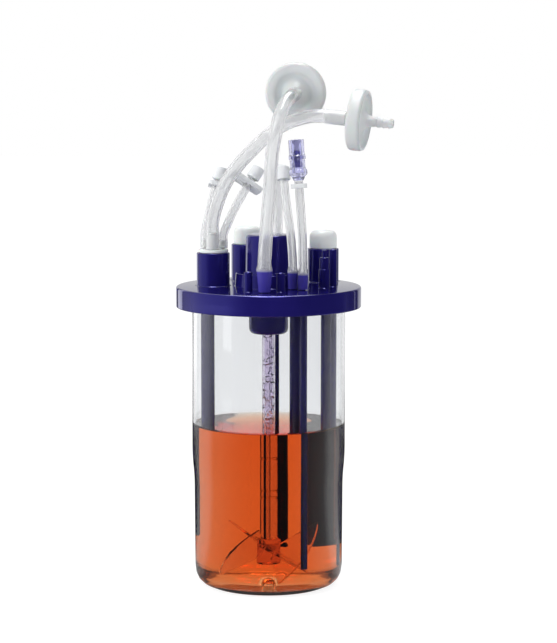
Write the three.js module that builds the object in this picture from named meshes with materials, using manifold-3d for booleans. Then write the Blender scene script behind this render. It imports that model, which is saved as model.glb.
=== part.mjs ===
// Bench bioreactor, about one litre: a clear moulded vessel half full of medium, closed by a moulded head
// plate that carries the stirrer, the dip tubes, the ports, and the hoses with their filters and clamps.
// Millimetres, +Z up. The origin is the middle of the vessel's underside; the front is towards -Y.
import * as THREE from "three";
import { mergeVertices } from "three/addons/utils/BufferGeometryUtils.js";
import Module from "manifold-3d";

const wasm = await Module();
wasm.setup();

// ---- driving sizes ----
const GAP = 0.3; // clearance between pieces that seat on or in each other

const VESSEL_TOP_R = 56.5; // outside, above the step
const VESSEL_LOW_R = 55; // outside, just under the step
const VESSEL_FOOT_R = 54.5; // outside, at the top of the bottom corner
const VESSEL_WALL = 2;
const VESSEL_FLOOR = 2.2;
const VESSEL_CORNER_R = 16;
const VESSEL_HEIGHT = 213.9;
const STEP_LOW = 82; // the wall steps out between these heights
const STEP_HIGH = 96;
const FLANGE_R = 62;
const FLANGE_T = 3;
const PIP_R = 6.2; // the dome in the middle of the floor
const PIP_H = 3;
const LIQUID_LEVEL = 120.5;

const PLATE_R = 67.5;
const PLATE_RIM_H = 16.1;
const DECK_T = 8.5;
const RIM_BEVEL = 0.9;
const SEAL_R = 59; // middle of the sealing ring
const SEAL_W = 3;
const SEAL_DEPTH = 2.2;
const COLLAR_R = 24.1;
const COLLAR_H = 9.9;
const HOUSING_R = 16.6; // at its top
const HOUSING_FOOT_R = 17;
const HOUSING_H = 38.1;
const HOUSING_BORE_R = 13.2;
const HOUSING_ROOF = 2.5;
const SOCKET_DEPTH = 6; // of the tubes and the bearing cup in the deck's underside

const SHAFT_R = 4.85;
const SHAFT_BORE_R = 2.95;
const CUP_R = 14.15;
const CUP_WALL = 2.2;
const CUP_DROP = 26.6; // how far the bearing cup hangs below the deck
const CUP_CORNER_R = 4;
const BUSH_R = 8;
const BUSH_H = 6;
const MAGNET_R = 11.2;
const MAGNET_H = 45;
const CARRIER_R = 7.6;
const CARRIER_FLANGE_H = 3.2;
const CARRIER_SOCKET = 26;
const CARRIER_NOSE = 6; // the carrier reaches this far past the magnet
const PIVOT_R = 1.5;
const PIVOT_LENGTH = 12.5;

const HUB_R = 6.65;
const HUB_LOW = 17.9;
const HUB_H = 18.7;
const HUB_FLOOR = 3.5;
const BLADES = 3;
const BLADE_R = 27.2;
const BLADE_T = 1.8;
const BLADE_PITCH = Math.PI / 4;
const BLADE_ROOT = 6; // half of the blade's width at the hub
const BLADE_TIP = 28; // half of its width at the tip
const BLADE_SHOULDER = 18.2; // how far out the blade has its full width
const BLADE_FIRST = Math.PI / 2; // direction of the first blade
const SWEEP_GAP = 0.6; // between the blades and the medium's hollow

// The tubes that hang from the deck: [name, direction from the middle, room left to the vessel's wall,
// radius, height of the lower end]
const HANGING = [
  ["sensor_sleeve_left", 175.57, 4.015, 5.15, 36],
  ["sensor_sleeve_rear", 61.41, 3.144, 5.8, 24],
  ["sensor_sleeve_right", 0, 4.25, 5.85, 34],
  ["sampling_tube", 82.94, 5.748, 2.4, 23],
  ["sparger_tube", -59.44, 3.124, 2.6, 20],
  ["harvest_tube", -12.01, 4.148, 2.3, 16],
];
const SLEEVES = 3; // the first ones are sleeves with a closed end; the rest are open tubes
const SLEEVE_WALL = 1.3;
const TUBE_WALL = 0.9;

// The wide ports on the plate: [x, y, radius, height]
const LEFT_PORT = [-40.8, 3, 12.15, 24.4];
const REAR_LEFT_PORT = [-16.3, 41.5, 11.65, 27.3];
const REAR_RIGHT_PORT = [40.9, 34, 11.65, 24.7];
const PORT_WALL = 2.95;
// The holes from the wide ports through the deck, which stay inside the vessel's mouth: [x, y, radius]
const PASSAGES = [
  [-35, 3, 2.2],
  [-16.3, 41.5, 6.3],
  [38.3, 32.1, 4.2],
];
const CAP_R = 10.2;
const CAP_H = 13.2;
const CAP_CORNER_R = 4.5;
const CAP_SPIGOT_H = 7;
const CAP_WALL = 1.6;
const PLUG_HEAD_R = 11.1;
const PLUG_HEAD_H = 2.2;
const PLUG_DEPTH = 14;

// The spigots on the plate that the hoses are pushed onto: [x, y, tip height, bore]
const EXHAUST_SPIGOT = [-3, -47, 17.4, 2.6];
const REAR_SPIGOT = [7.2, 40, 13.8, 1.6];
const FRONT_SPIGOT = [17.5, -25.5, 13.8, 1.6];
const VALVE_SPIGOT = [24.8, -30, 12.9, 1.6];
// Closed nipples: [x, y, radius, height]
const NIPPLES = [
  [-14.7, -40.5, 3.1, 14.4],
  [8.7, -40.5, 3.2, 13.6],
  [47.2, -5, 2.9, 27.4],
];
const NIPPLE_RECESS = 4;
const STEPPED_NIPPLE = [40.7, -13.5];
const STEPPED_PROFILE = [[4.1, 13.7], [3.45, 22.3], [1.65, 27.7]]; // [radius, top] of each step

const WIDE_HOSE_R = 4.9;
const NARROW_HOSE_R = 3.175;
const GAS_BARB_H = 12.6;
const PLUG_SPIGOT_H = 6.6;

const FILTER_R = 22.3;
const FILTER_T = 10.2;
const FILTER_WELD = 3; // width of the weld round the membrane
const FILTER_INLET_RIM = 7.6; // width of the raised rim on each face
const FILTER_OUTLET_RIM = 4;
const FILTER_DISH = 2.9; // how far the dished face lies below the rim
const FILTER_HUB_R = 9;
const FILTER_INLET_BARB = 18.9; // from the rim's face to the barb's tip
const FILTER_OUTLET_BARB = 20.9;
const MEMBRANE_T = 0.6;

const CLAMP_L = 26;
const CLAMP_W = 11.6;
const CLAMP_T = 3;
const CLAMP_EYE = 10.5; // from the clamp's near end to the middle of its eye
const CLAMP_EYE_GAP = 0.9;
const CLAMP_SLOT_W = 1.6;
const CLAMP_SLOT_L = 12;
const LUER_R = 3.4;
const LUER_H = 2.5;
const LUER_TIP = 5.6; // heights over the hose's end
const LUER_CAP_LOW = 0.6;
const LUER_CAP_TOP = 8;
const LUER_CAP_R = 5;

const VALVE_LENGTH = 29.6;
const VALVE_BORE_R = 3.4;
const VALVE_STEM_R = 3;
const VALVE_FLOOR = 5.5;
const VALVE_TRAVEL = 3.5;
const VALVE_JOINT = 15.5; // where the upper half starts

// ---- places that follow from the sizes ----
// [name, x, y, radius, height of the lower end]
const DIP_TUBES = HANGING.map(([name, direction, room, radius, low]) => {
  const out = VESSEL_TOP_R - VESSEL_WALL - room - radius;
  const a = THREE.MathUtils.degToRad(direction);
  return [name, out * Math.cos(a), out * Math.sin(a), radius, low];
});
const DECK_UNDER = VESSEL_HEIGHT + GAP;
const DECK_TOP = DECK_UNDER + DECK_T;
const RIM_LOW = DECK_TOP - PLATE_RIM_H;
const CUP_LOW = DECK_UNDER - CUP_DROP;
const BUSH_TOP = CUP_LOW + CUP_WALL + GAP + BUSH_H;
const CARRIER_LOW = BUSH_TOP + GAP;
const CARRIER_TOP = CARRIER_LOW + CARRIER_FLANGE_H + GAP + MAGNET_H + CARRIER_NOSE;
const ROOF_UNDER = DECK_TOP + HOUSING_H - HOUSING_ROOF;
const PORT_BORE_LESS = GAP; // a plug is this much slimmer than its bore
const FILTER_REACH = FILTER_T / 2 + FILTER_INLET_BARB; // from the filter's middle to its inlet's tip

// ---- facets round a circle ----
const ROUND_LARGE = 32;
const ROUND_MEDIUM = 18;
const ROUND_SMALL = 12;
const ROUND_TINY = 8;

// ---- materials ----
const plastic = (color, roughness, opacity = 1) =>
  new THREE.MeshStandardMaterial({ color, roughness, metalness: 0, transparent: opacity < 1, opacity });
const clearPlastic = plastic("#e8edee", 0.08, 0.3);
const shaftPlastic = plastic("#cfc0dc", 0.12, 0.5);
const indigo = plastic("#2a2277", 0.18);
const darkIndigo = plastic("#16104f", 0.2);
const whitePlastic = plastic("#eef0ee", 0.45);
const milky = plastic("#dfe4e6", 0.3, 0.6);
const violetClear = plastic("#7a70c0", 0.1, 0.6);
const silicone = plastic("#d9dee0", 0.5);
const blackRubber = plastic("#1d1d20", 0.7);
const orangeMedium = plastic("#dd6030", 0.05, 0.8);
const magnetMetal = new THREE.MeshStandardMaterial({ color: "#8b8d90", roughness: 0.3, metalness: 1 });

// ---- shapes ----

// A lathe solid about +Z from a closed outline of [radius, height]; the outline may touch the axis.
function turned(outline, facets) {
  const points = outline.map(([r, z]) => new THREE.Vector2(r, z));
  if (THREE.ShapeUtils.area(points) < 0) points.reverse();
  const offAxis = (point) => point.x > 0;
  if (offAxis(points[0]) || offAxis(points.at(-1))) points.push(points[0].clone());
  return new THREE.LatheGeometry(points, facets).rotateX(Math.PI / 2);
}

// Points on an arc of a turned outline, from one angle to another, in degrees, both ends included.
function arc(r, z, radius, from, to, steps) {
  return Array.from({ length: steps + 1 }, (_, i) => {
    const a = THREE.MathUtils.degToRad(from + ((to - from) * i) / steps);
    return [r + radius * Math.cos(a), z + radius * Math.sin(a)];
  });
}

// Points between two places of an outline along a smooth S, the ends included.
function ease(r0, z0, r1, z1, steps) {
  return Array.from({ length: steps + 1 }, (_, i) => {
    const t = i / steps;
    return [r0 + (r1 - r0) * t * t * (3 - 2 * t), z0 + (z1 - z0) * t];
  });
}

function rod(x, y, radius, low, high, facets) {
  return new THREE.CylinderGeometry(radius, radius, high - low, facets)
    .rotateX(Math.PI / 2)
    .translate(x, y, (low + high) / 2);
}

// A closed geometry as a solid that can be joined and cut.
function solid(geometry) {
  const bare = new THREE.BufferGeometry().setAttribute("position", geometry.getAttribute("position"));
  bare.setIndex(geometry.index);
  const merged = mergeVertices(bare, 1e-4);
  return new wasm.Manifold(
    new wasm.Mesh({
      numProp: 3,
      vertProperties: merged.attributes.position.array,
      triVerts: new Uint32Array(merged.index.array),
    }),
  );
}

function geometryOf(body) {
  const made = body.getMesh();
  return new THREE.BufferGeometry()
    .setAttribute("position", new THREE.BufferAttribute(made.vertProperties, 3))
    .setIndex(new THREE.BufferAttribute(made.triVerts, 1));
}

const joined = (bodies) => bodies.reduce((sum, body) => sum.add(body));
const cut = (body, tools) => tools.reduce((rest, tool) => rest.subtract(tool), body);

function piece(name, shape, material) {
  const geometry = shape.isBufferGeometry ? shape : geometryOf(shape);
  const mesh = new THREE.Mesh(geometry, material);
  mesh.name = name;
  return mesh;
}

// A group at a point whose +Z runs along a direction and whose +X leans towards side.
function frameAt(point, direction, side = new THREE.Vector3(0, 1, 0)) {
  const z = direction.clone().normalize();
  const x = side.clone().addScaledVector(z, -side.dot(z)).normalize();
  const y = new THREE.Vector3().crossVectors(z, x);
  const group = new THREE.Group();
  group.matrix.makeBasis(x, y, z).setPosition(point);
  group.matrix.decompose(group.position, group.quaternion, group.scale);
  return group;
}

// ---- vessel and medium ----

// The inside of the vessel from the top of the wall down to the dome on its floor, shrunk by less.
function vesselInside(less, top) {
  const r = (outer) => outer - VESSEL_WALL - less;
  const corner = VESSEL_CORNER_R - VESSEL_WALL - less;
  return [
    [r(VESSEL_TOP_R), top],
    ...ease(r(VESSEL_TOP_R), STEP_HIGH, r(VESSEL_LOW_R), STEP_LOW, 2),
    ...arc(r(VESSEL_FOOT_R) - corner, VESSEL_FLOOR + less + corner, corner, 0, -90, 3),
    ...ease(PIP_R + less, VESSEL_FLOOR + less, 0, VESSEL_FLOOR + less + PIP_H, 2),
  ];
}

// The vessel: one clear moulding with a step in its wall, a wide bottom corner and a flange at its mouth.
function vessel() {
  const outside = [
    [0, 0],
    ...arc(VESSEL_FOOT_R - VESSEL_CORNER_R, VESSEL_CORNER_R, VESSEL_CORNER_R, -90, 0, 3),
    ...ease(VESSEL_LOW_R, STEP_LOW, VESSEL_TOP_R, STEP_HIGH, 2),
    [VESSEL_TOP_R, VESSEL_HEIGHT - FLANGE_T],
    [FLANGE_R, VESSEL_HEIGHT - FLANGE_T],
    [FLANGE_R, VESSEL_HEIGHT],
  ];
  return turned([...outside, ...vesselInside(0, VESSEL_HEIGHT)], ROUND_LARGE);
}

// The medium fills the vessel to its level, with room round the tubes, the shaft and the turning blades.
function medium() {
  const shaftHole = SHAFT_R + GAP;
  const reach = BLADE_R + SWEEP_GAP;
  const middle = HUB_LOW + HUB_H / 2;
  const rise = (BLADE_TIP + BLADE_T) * Math.sin(BLADE_PITCH) + SWEEP_GAP;
  const body = solid(
    turned(
      [
        ...vesselInside(GAP, LIQUID_LEVEL),
        [0, HUB_LOW - SWEEP_GAP],
        [HUB_R + SWEEP_GAP, HUB_LOW - SWEEP_GAP],
        [reach, middle - rise],
        [reach, middle + rise],
        [shaftHole, middle + rise],
        [shaftHole, LIQUID_LEVEL],
      ],
      ROUND_LARGE,
    ),
  );
  const holes = DIP_TUBES.map(([, x, y, radius, low]) =>
    solid(rod(x, y, radius + GAP, low - GAP, LIQUID_LEVEL + 1, ROUND_SMALL)),
  );
  return cut(body, holes);
}

// ---- head plate ----

// The disc with its skirt, the collar and the hollow drive housing, turned as one outline.
function plateDisc() {
  const seat = CUP_R + GAP;
  const ringIn = SEAL_R - SEAL_W / 2 - GAP;
  const ringOut = SEAL_R + SEAL_W / 2 + GAP;
  return turned(
    [
      [FLANGE_R + GAP, RIM_LOW],
      [PLATE_R - RIM_BEVEL, RIM_LOW],
      [PLATE_R, RIM_LOW + RIM_BEVEL],
      [PLATE_R, DECK_TOP - RIM_BEVEL],
      [PLATE_R - RIM_BEVEL, DECK_TOP],
      [COLLAR_R, DECK_TOP],
      [COLLAR_R, DECK_TOP + COLLAR_H - 0.6],
      [COLLAR_R - 0.6, DECK_TOP + COLLAR_H],
      [HOUSING_FOOT_R, DECK_TOP + COLLAR_H],
      ...arc(HOUSING_R - 1.6, DECK_TOP + HOUSING_H - 1.6, 1.6, 0, 90, 2),
      [0, DECK_TOP + HOUSING_H],
      [0, ROOF_UNDER],
      [PIVOT_R + GAP, ROOF_UNDER],
      [PIVOT_R + GAP, ROOF_UNDER - 5],
      [PIVOT_R + 2.5, ROOF_UNDER - 5],
      [PIVOT_R + 2.5, ROOF_UNDER],
      [HOUSING_BORE_R, ROOF_UNDER],
      [HOUSING_BORE_R, DECK_UNDER + SOCKET_DEPTH],
      [seat, DECK_UNDER + SOCKET_DEPTH],
      [seat, DECK_UNDER],
      [ringIn, DECK_UNDER],
      [ringIn, DECK_UNDER + SEAL_DEPTH],
      [ringOut, DECK_UNDER + SEAL_DEPTH],
      [ringOut, DECK_UNDER],
      [FLANGE_R + GAP, DECK_UNDER],
    ],
    ROUND_LARGE,
  );
}

// A pushed-on hose is held by the cone near the spigot's tip.
function spigot([x, y, height], rootR, coneR) {
  return solid(
    turned(
      [
        [0, DECK_TOP - 2],
        [rootR + 0.5, DECK_TOP - 2],
        [rootR + 0.5, DECK_TOP + 1],
        [rootR, DECK_TOP + 1.5],
        [coneR, DECK_TOP + height - 2.4],
        [coneR - 1.1, DECK_TOP + height],
        [0, DECK_TOP + height],
      ],
      ROUND_SMALL,
    ).translate(x, y, 0),
  );
}

function steppedNipple([x, y]) {
  const steps = STEPPED_PROFILE.flatMap(([r, top], i) => [
    [r, i ? DECK_TOP + STEPPED_PROFILE[i - 1][1] : DECK_TOP - 2],
    [r, DECK_TOP + top],
  ]);
  const outline = [[0, DECK_TOP - 2], ...steps, [0, steps.at(-1)[1]]];
  return solid(turned(outline, ROUND_SMALL).translate(x, y, 0));
}

// The head plate is one moulding: disc, skirt, drive housing, three wide ports, spigots and closed nipples.
function headPlate() {
  const ports = [LEFT_PORT, REAR_LEFT_PORT, REAR_RIGHT_PORT];
  const spigots = [REAR_SPIGOT, FRONT_SPIGOT, VALVE_SPIGOT];
  const body = joined([
    solid(plateDisc()),
    ...ports.map(([x, y, r, h]) => solid(rod(x, y, r, DECK_TOP - 2, DECK_TOP + h, ROUND_MEDIUM))),
    spigot(EXHAUST_SPIGOT, WIDE_HOSE_R - 1.9, WIDE_HOSE_R - 0.6),
    ...spigots.map((place) => spigot(place, NARROW_HOSE_R - 0.9, NARROW_HOSE_R - 0.3)),
    ...NIPPLES.map(([x, y, r, h]) => solid(rod(x, y, r, DECK_TOP - 2, DECK_TOP + h, ROUND_SMALL))),
    steppedNipple(STEPPED_NIPPLE),
  ]);
  const through = (x, y, r, top, facets) => solid(rod(x, y, r, DECK_UNDER - 1, DECK_TOP + top + 1, facets));
  return cut(body, [
    ...ports.map(([x, y, r, h]) =>
      solid(rod(x, y, r - PORT_WALL, DECK_TOP + 1, DECK_TOP + h + 1, ROUND_MEDIUM)),
    ),
    ...PASSAGES.map(([x, y, r]) => through(x, y, r, 1, ROUND_SMALL)),
    ...[EXHAUST_SPIGOT, ...spigots].map(([x, y, h, bore]) => through(x, y, bore, h, ROUND_TINY)),
    ...NIPPLES.map(([x, y, r, h]) =>
      solid(rod(x, y, r - 1.2, DECK_TOP + h - NIPPLE_RECESS, DECK_TOP + h + 1, ROUND_TINY)),
    ),
    ...DIP_TUBES.map(([, x, y, r]) =>
      solid(rod(x, y, r + GAP, DECK_UNDER - 1, DECK_UNDER + SOCKET_DEPTH, ROUND_SMALL)),
    ),
  ]);
}

function sealRing() {
  const low = DECK_UNDER;
  const high = DECK_UNDER + SEAL_DEPTH - GAP;
  const inner = SEAL_R - SEAL_W / 2;
  const outer = SEAL_R + SEAL_W / 2;
  return turned([[inner, low], [outer, low], [outer, high], [inner, high]], ROUND_LARGE);
}

// A cap: a domed head that rests on the port's rim, and a hollow spigot in its bore.
function portCap([x, y, r, h]) {
  const low = DECK_TOP + h + GAP;
  const spigotR = r - PORT_WALL - PORT_BORE_LESS;
  return turned(
    [
      [0, low + CAP_H],
      ...arc(CAP_R - CAP_CORNER_R, low + CAP_H - CAP_CORNER_R, CAP_CORNER_R, 90, 0, 4),
      [CAP_R, low],
      [spigotR, low],
      [spigotR, low - CAP_SPIGOT_H],
      [spigotR - CAP_WALL, low - CAP_SPIGOT_H],
      [spigotR - CAP_WALL, low + CAP_H - CAP_CORNER_R - CAP_WALL],
      [spigotR - CAP_WALL - 2, low + CAP_H - CAP_WALL],
      [0, low + CAP_H - CAP_WALL],
    ],
    ROUND_MEDIUM,
  ).translate(x, y, 0);
}

// The left port's plug carries the gas hose's barb and two narrow spigots.
function portPlug() {
  const [x, y, r, h] = LEFT_PORT;
  const rim = DECK_TOP + h + GAP;
  const bodyR = r - PORT_WALL - PORT_BORE_LESS;
  const head = turned(
    [
      [0, rim - PLUG_DEPTH],
      [bodyR - 0.8, rim - PLUG_DEPTH],
      [bodyR, rim - PLUG_DEPTH + 1.5],
      [bodyR, rim],
      [PLUG_HEAD_R, rim],
      [PLUG_HEAD_R, rim + PLUG_HEAD_H - 0.6],
      [PLUG_HEAD_R - 0.6, rim + PLUG_HEAD_H],
      [0, rim + PLUG_HEAD_H],
    ],
    ROUND_MEDIUM,
  ).translate(x, y, 0);
  const top = rim + PLUG_HEAD_H;
  const barb = (bx, by, height, root, cone) =>
    solid(
      turned(
        [
          [0, top - 1],
          [root, top - 1],
          [cone, top + height - 2],
          [cone - 0.8, top + height],
          [0, top + height],
        ],
        ROUND_TINY,
      ).translate(bx, by, 0),
    );
  const bore = (bx, by, radius, height) =>
    solid(rod(bx, by, radius, rim - PLUG_DEPTH - 1, top + height + 1, ROUND_TINY));
  const [gx, gy] = GAS_ROUTE[0];
  const [lx, ly] = LEFT_ROUTE[0];
  const [rx, ry] = MIDDLE_ROUTE[0];
  return cut(
    joined([
      solid(head),
      barb(gx, gy, GAS_BARB_H, WIDE_HOSE_R - 2.5, WIDE_HOSE_R - 2.1),
      barb(lx, ly, PLUG_SPIGOT_H, NARROW_HOSE_R - 1.4, NARROW_HOSE_R - 1),
      barb(rx, ry, PLUG_SPIGOT_H, NARROW_HOSE_R - 1.4, NARROW_HOSE_R - 1),
    ]),
    [bore(gx, gy, 1.5, GAS_BARB_H), bore(lx, ly, 0.9, PLUG_SPIGOT_H), bore(rx, ry, 0.9, PLUG_SPIGOT_H)],
  );
}

// ---- stirrer ----

// The bearing cup hangs in the deck's socket and holds the bush round the shaft.
function bearingCup() {
  const inner = CUP_R - CUP_WALL;
  const floor = CUP_LOW + CUP_WALL;
  const hole = SHAFT_R + 2 * GAP;
  return turned(
    [
      [hole, CUP_LOW],
      ...arc(CUP_R - CUP_CORNER_R, CUP_LOW + CUP_CORNER_R, CUP_CORNER_R, -90, 0, 3),
      [CUP_R, DECK_UNDER + SOCKET_DEPTH - GAP],
      [inner, DECK_UNDER + SOCKET_DEPTH - GAP],
      [inner, floor],
      [BUSH_R + GAP + 1.4, floor],
      [BUSH_R + GAP + 1.4, floor + BUSH_H - 1],
      [BUSH_R + GAP, floor + BUSH_H - 1],
      [BUSH_R + GAP, floor],
      [hole, floor],
    ],
    ROUND_MEDIUM,
  );
}

function bearingBush() {
  const low = BUSH_TOP - BUSH_H;
  const bore = SHAFT_R + GAP;
  return turned([[bore, low], [BUSH_R, low], [BUSH_R, BUSH_TOP], [bore, BUSH_TOP]], ROUND_MEDIUM);
}

// The magnet carrier runs on the bush, takes the shaft from below and turns on the pivot pin above.
function magnetCarrier() {
  const pinHole = PIVOT_R + GAP;
  return turned(
    [
      [0, CARRIER_LOW + CARRIER_SOCKET],
      [SHAFT_R + GAP, CARRIER_LOW + CARRIER_SOCKET],
      [SHAFT_R + GAP, CARRIER_LOW],
      [MAGNET_R - 0.6, CARRIER_LOW],
      [MAGNET_R - 0.6, CARRIER_LOW + CARRIER_FLANGE_H],
      [CARRIER_R, CARRIER_LOW + CARRIER_FLANGE_H],
      [CARRIER_R, CARRIER_TOP],
      [pinHole, CARRIER_TOP],
      [pinHole, ROOF_UNDER - GAP - PIVOT_LENGTH - GAP],
      [0, ROOF_UNDER - GAP - PIVOT_LENGTH - GAP],
    ],
    ROUND_MEDIUM,
  );
}

function driveMagnet() {
  const low = CARRIER_LOW + CARRIER_FLANGE_H + GAP;
  const bore = CARRIER_R + GAP;
  return turned(
    [[bore, low], [MAGNET_R, low], [MAGNET_R, low + MAGNET_H], [bore, low + MAGNET_H]],
    ROUND_MEDIUM,
  );
}

function pivotPin() {
  const top = ROOF_UNDER - GAP;
  return rod(0, 0, PIVOT_R, top - PIVOT_LENGTH, top, ROUND_TINY);
}

function stirrerShaft() {
  const low = HUB_LOW + HUB_FLOOR + GAP;
  const high = CARRIER_LOW + CARRIER_SOCKET - GAP;
  return turned([[SHAFT_BORE_R, low], [SHAFT_R, low], [SHAFT_R, high], [SHAFT_BORE_R, high]], ROUND_MEDIUM);
}

// One blade: a flat fan that widens to its tip and leans at the pitch angle across the hub.
function blade(direction) {
  const root = HUB_R * 0.45;
  const fan = new THREE.Shape()
    .moveTo(-BLADE_ROOT, root)
    .lineTo(BLADE_ROOT, root)
    .lineTo(BLADE_TIP, BLADE_SHOULDER)
    .lineTo(BLADE_TIP, BLADE_R + 1)
    .lineTo(-BLADE_TIP, BLADE_R + 1)
    .lineTo(-BLADE_TIP, BLADE_SHOULDER)
    .closePath();
  // The fan lies in x (across) and y (outwards); it is pitched about y and then turned about the shaft.
  return solid(
    new THREE.ExtrudeGeometry(fan, { depth: BLADE_T, bevelEnabled: false })
      .translate(0, 0, -BLADE_T / 2)
      .rotateY(BLADE_PITCH)
      .rotateZ(direction - Math.PI / 2)
      .translate(0, 0, HUB_LOW + HUB_H / 2),
  );
}

function impeller() {
  const top = HUB_LOW + HUB_H;
  const hub = turned(
    [
      [0, HUB_LOW],
      [HUB_R - 0.8, HUB_LOW],
      [HUB_R, HUB_LOW + 0.8],
      [HUB_R, top],
      [SHAFT_R + GAP, top],
      [SHAFT_R + GAP, HUB_LOW + HUB_FLOOR],
      [0, HUB_LOW + HUB_FLOOR],
    ],
    ROUND_MEDIUM,
  );
  const fans = Array.from({ length: BLADES }, (_, i) => blade(BLADE_FIRST + (i * 2 * Math.PI) / BLADES));
  const reach = solid(rod(0, 0, BLADE_R, 0, VESSEL_HEIGHT, ROUND_LARGE));
  const shaftRoom = solid(rod(0, 0, SHAFT_R + GAP, HUB_LOW + HUB_FLOOR, VESSEL_HEIGHT, ROUND_MEDIUM));
  return cut(joined([solid(hub), ...fans]).intersect(reach), [shaftRoom]);
}

// A sleeve for a sensor: closed at its lower end, with its mouth in a socket of the deck.
function sleeve(x, y, radius, low) {
  const high = DECK_UNDER + SOCKET_DEPTH - GAP;
  const end = radius * 0.45;
  const bore = radius - SLEEVE_WALL;
  return turned(
    [
      [0, low],
      [radius - end, low],
      [radius, low + end],
      [radius, high],
      [bore, high],
      [bore, low + end],
      [0, low + end],
    ],
    ROUND_SMALL,
  ).translate(x, y, 0);
}

// An open tube that hangs from a socket of the deck.
function dipTube(x, y, radius, low) {
  const high = DECK_UNDER + SOCKET_DEPTH - GAP;
  const bore = radius - TUBE_WALL;
  return turned([[bore, low], [radius, low], [radius, high], [bore, high]], ROUND_SMALL).translate(x, y, 0);
}

// ---- hoses ----

const at = (points) => points.map(([x, y, z]) => new THREE.Vector3(x, y, z));

// Each route starts at the tip of its spigot and ends at what the hose carries.
const EXHAUST_ROUTE = at([
  [-3, -47, 240.4], [-3, -47, 245.2], [-2.4, -45.8, 254], [-1.5, -43.5, 267.5],
  [-0.7, -41.5, 278], [0.6, -39, 291], [1.6, -36.8, 306.5], [2.4, -35.2, 320.5], [4, -33.6, 331],
  [6.2, -31.4, 341], [8.7, -28.9, 350.4], [11.6, -24.8, 356.4], [14.2, -20.2, 359.9],
  [16.3, -14.9, 361.8], [17.2, -8.5, 362.3],
]);
const GAS_ROUTE = at([
  [-41.2, -2.5, 262.5], [-41.2, -2.5, 267.2], [-40.5, -4, 273], [-39, -5.8, 279], [-36.8, -7.6, 285.8],
  [-32.4, -9, 296.8], [-27, -8.8, 305.6], [-20.4, -7.6, 313.8], [-13, -5.7, 321.6], [-4.8, -3.4, 329.8],
  [3, -1.6, 336], [12, -0.6, 341.4], [20.5, -0.7, 344.7], [28.5, -2, 346.8], [35.6, -4, 347.6],
  [41.8, -5.7, 347.1],
]);
const LEFT_ROUTE = at([
  [-47, 7.5, 256.5], [-47, 7.5, 260], [-46, 8.4, 265.5], [-44.6, 9.7, 272], [-43, 11.6, 279.5],
  [-41, 13.8, 287.6], [-38.7, 15.8, 295.2], [-37.5, 16.5, 299],
]);
const MIDDLE_ROUTE = at([
  [-33.3, 5.5, 256.5], [-33.3, 5.5, 259.5], [-31.6, 6.7, 264.5], [-28.8, 8.7, 271], [-25.7, 11, 277.6],
  [-22.1, 13.2, 284.4], [-18.2, 15.2, 291], [-14.6, 16.8, 296.6], [-12.4, 17.8, 300],
]);
const REAR_ROUTE = at([
  [7.2, 40, 236.8], [7.2, 40, 241], [7.2, 39.6, 248], [7.3, 38.8, 257.5], [7.4, 37.4, 268.2],
  [7.6, 35.6, 279.6], [7.8, 34, 290.2], [8, 33, 299.5],
]);
const FRONT_ROUTE = at([
  [17.5, -25.5, 236.8], [17.5, -25.5, 241], [17.1, -24.9, 249], [16.4, -23.4, 258], [15, -20.2, 270],
  [13.4, -16.2, 281.4], [12, -12, 291.6], [11.2, -9, 300.4],
]);
const VALVE_ROUTE = at([
  [24.8, -30, 235.9], [24.8, -30, 240], [24.7, -29.9, 248], [24.5, -29.4, 259], [23.9, -28.5, 270.5],
  [23.2, -27.5, 281], [22.4, -26.6, 291], [21.7, -25.8, 301.3],
]);

const curveOf = (route) => new THREE.CatmullRomCurve3(route, false, "centripetal");

// A plain solid hose along its route, with a few steps to each curve.
function hose(route, radius, sides) {
  const corners = Array.from({ length: sides }, (_, i) => {
    const a = (2 * Math.PI * i) / sides;
    return new THREE.Vector2(radius * Math.cos(a), radius * Math.sin(a));
  });
  const curve = curveOf(route);
  const steps = Math.ceil(curve.getLength() / (4 * radius));
  const section = new THREE.Shape(corners);
  return new THREE.ExtrudeGeometry(section, { steps, extrudePath: curve, bevelEnabled: false });
}

// The far end of a hose: the point, a clearance past its last face, and the way it goes on.
function hoseEnd(route) {
  const curve = curveOf(route);
  const way = curve.getTangentAt(1);
  return { point: curve.getPointAt(1).addScaledVector(way, GAP), way };
}

// A place on a hose, a length back from its far end.
function placeOnHose(route, back) {
  const curve = curveOf(route);
  const share = 1 - back / curve.getLength();
  return { point: curve.getPointAt(share), way: curve.getTangentAt(share) };
}

// ---- what the hoses carry ----

// Half of a disc filter, made on +Z from the disc's middle plane: rim, dished face, hub and barb.
function filterHalf(rim, barb) {
  const face = FILTER_T / 2;
  const dish = face - FILTER_DISH;
  const tip = face + barb;
  const recess = FILTER_R - rim;
  const chamber = FILTER_R - FILTER_WELD;
  return turned(
    [
      [1.7, tip],
      [2.8, tip],
      [3.9, tip - 3.2],
      [3.2, tip - 3.6],
      [4, tip - 7.4],
      [3.3, tip - 7.8],
      [4, tip - 11.6],
      [3.5, tip - 12],
      [4.4, face + 2],
      [FILTER_HUB_R, dish],
      [recess - 0.9, dish],
      [recess, face - 0.5],
      [recess + 0.9, face],
      [FILTER_R - 2.4, face],
      [FILTER_R - 0.8, face - 0.7],
      [FILTER_R, face - 2.3],
      [FILTER_R, GAP / 2],
      [chamber, GAP / 2],
      [chamber, MEMBRANE_T / 2 + GAP],
      [5, dish - 1.2],
      [1.7, dish + 0.4],
    ],
    ROUND_MEDIUM,
  );
}

function membrane() {
  return rod(0, 0, FILTER_R - FILTER_WELD - GAP, -MEMBRANE_T / 2, MEMBRANE_T / 2, ROUND_MEDIUM);
}

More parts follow.
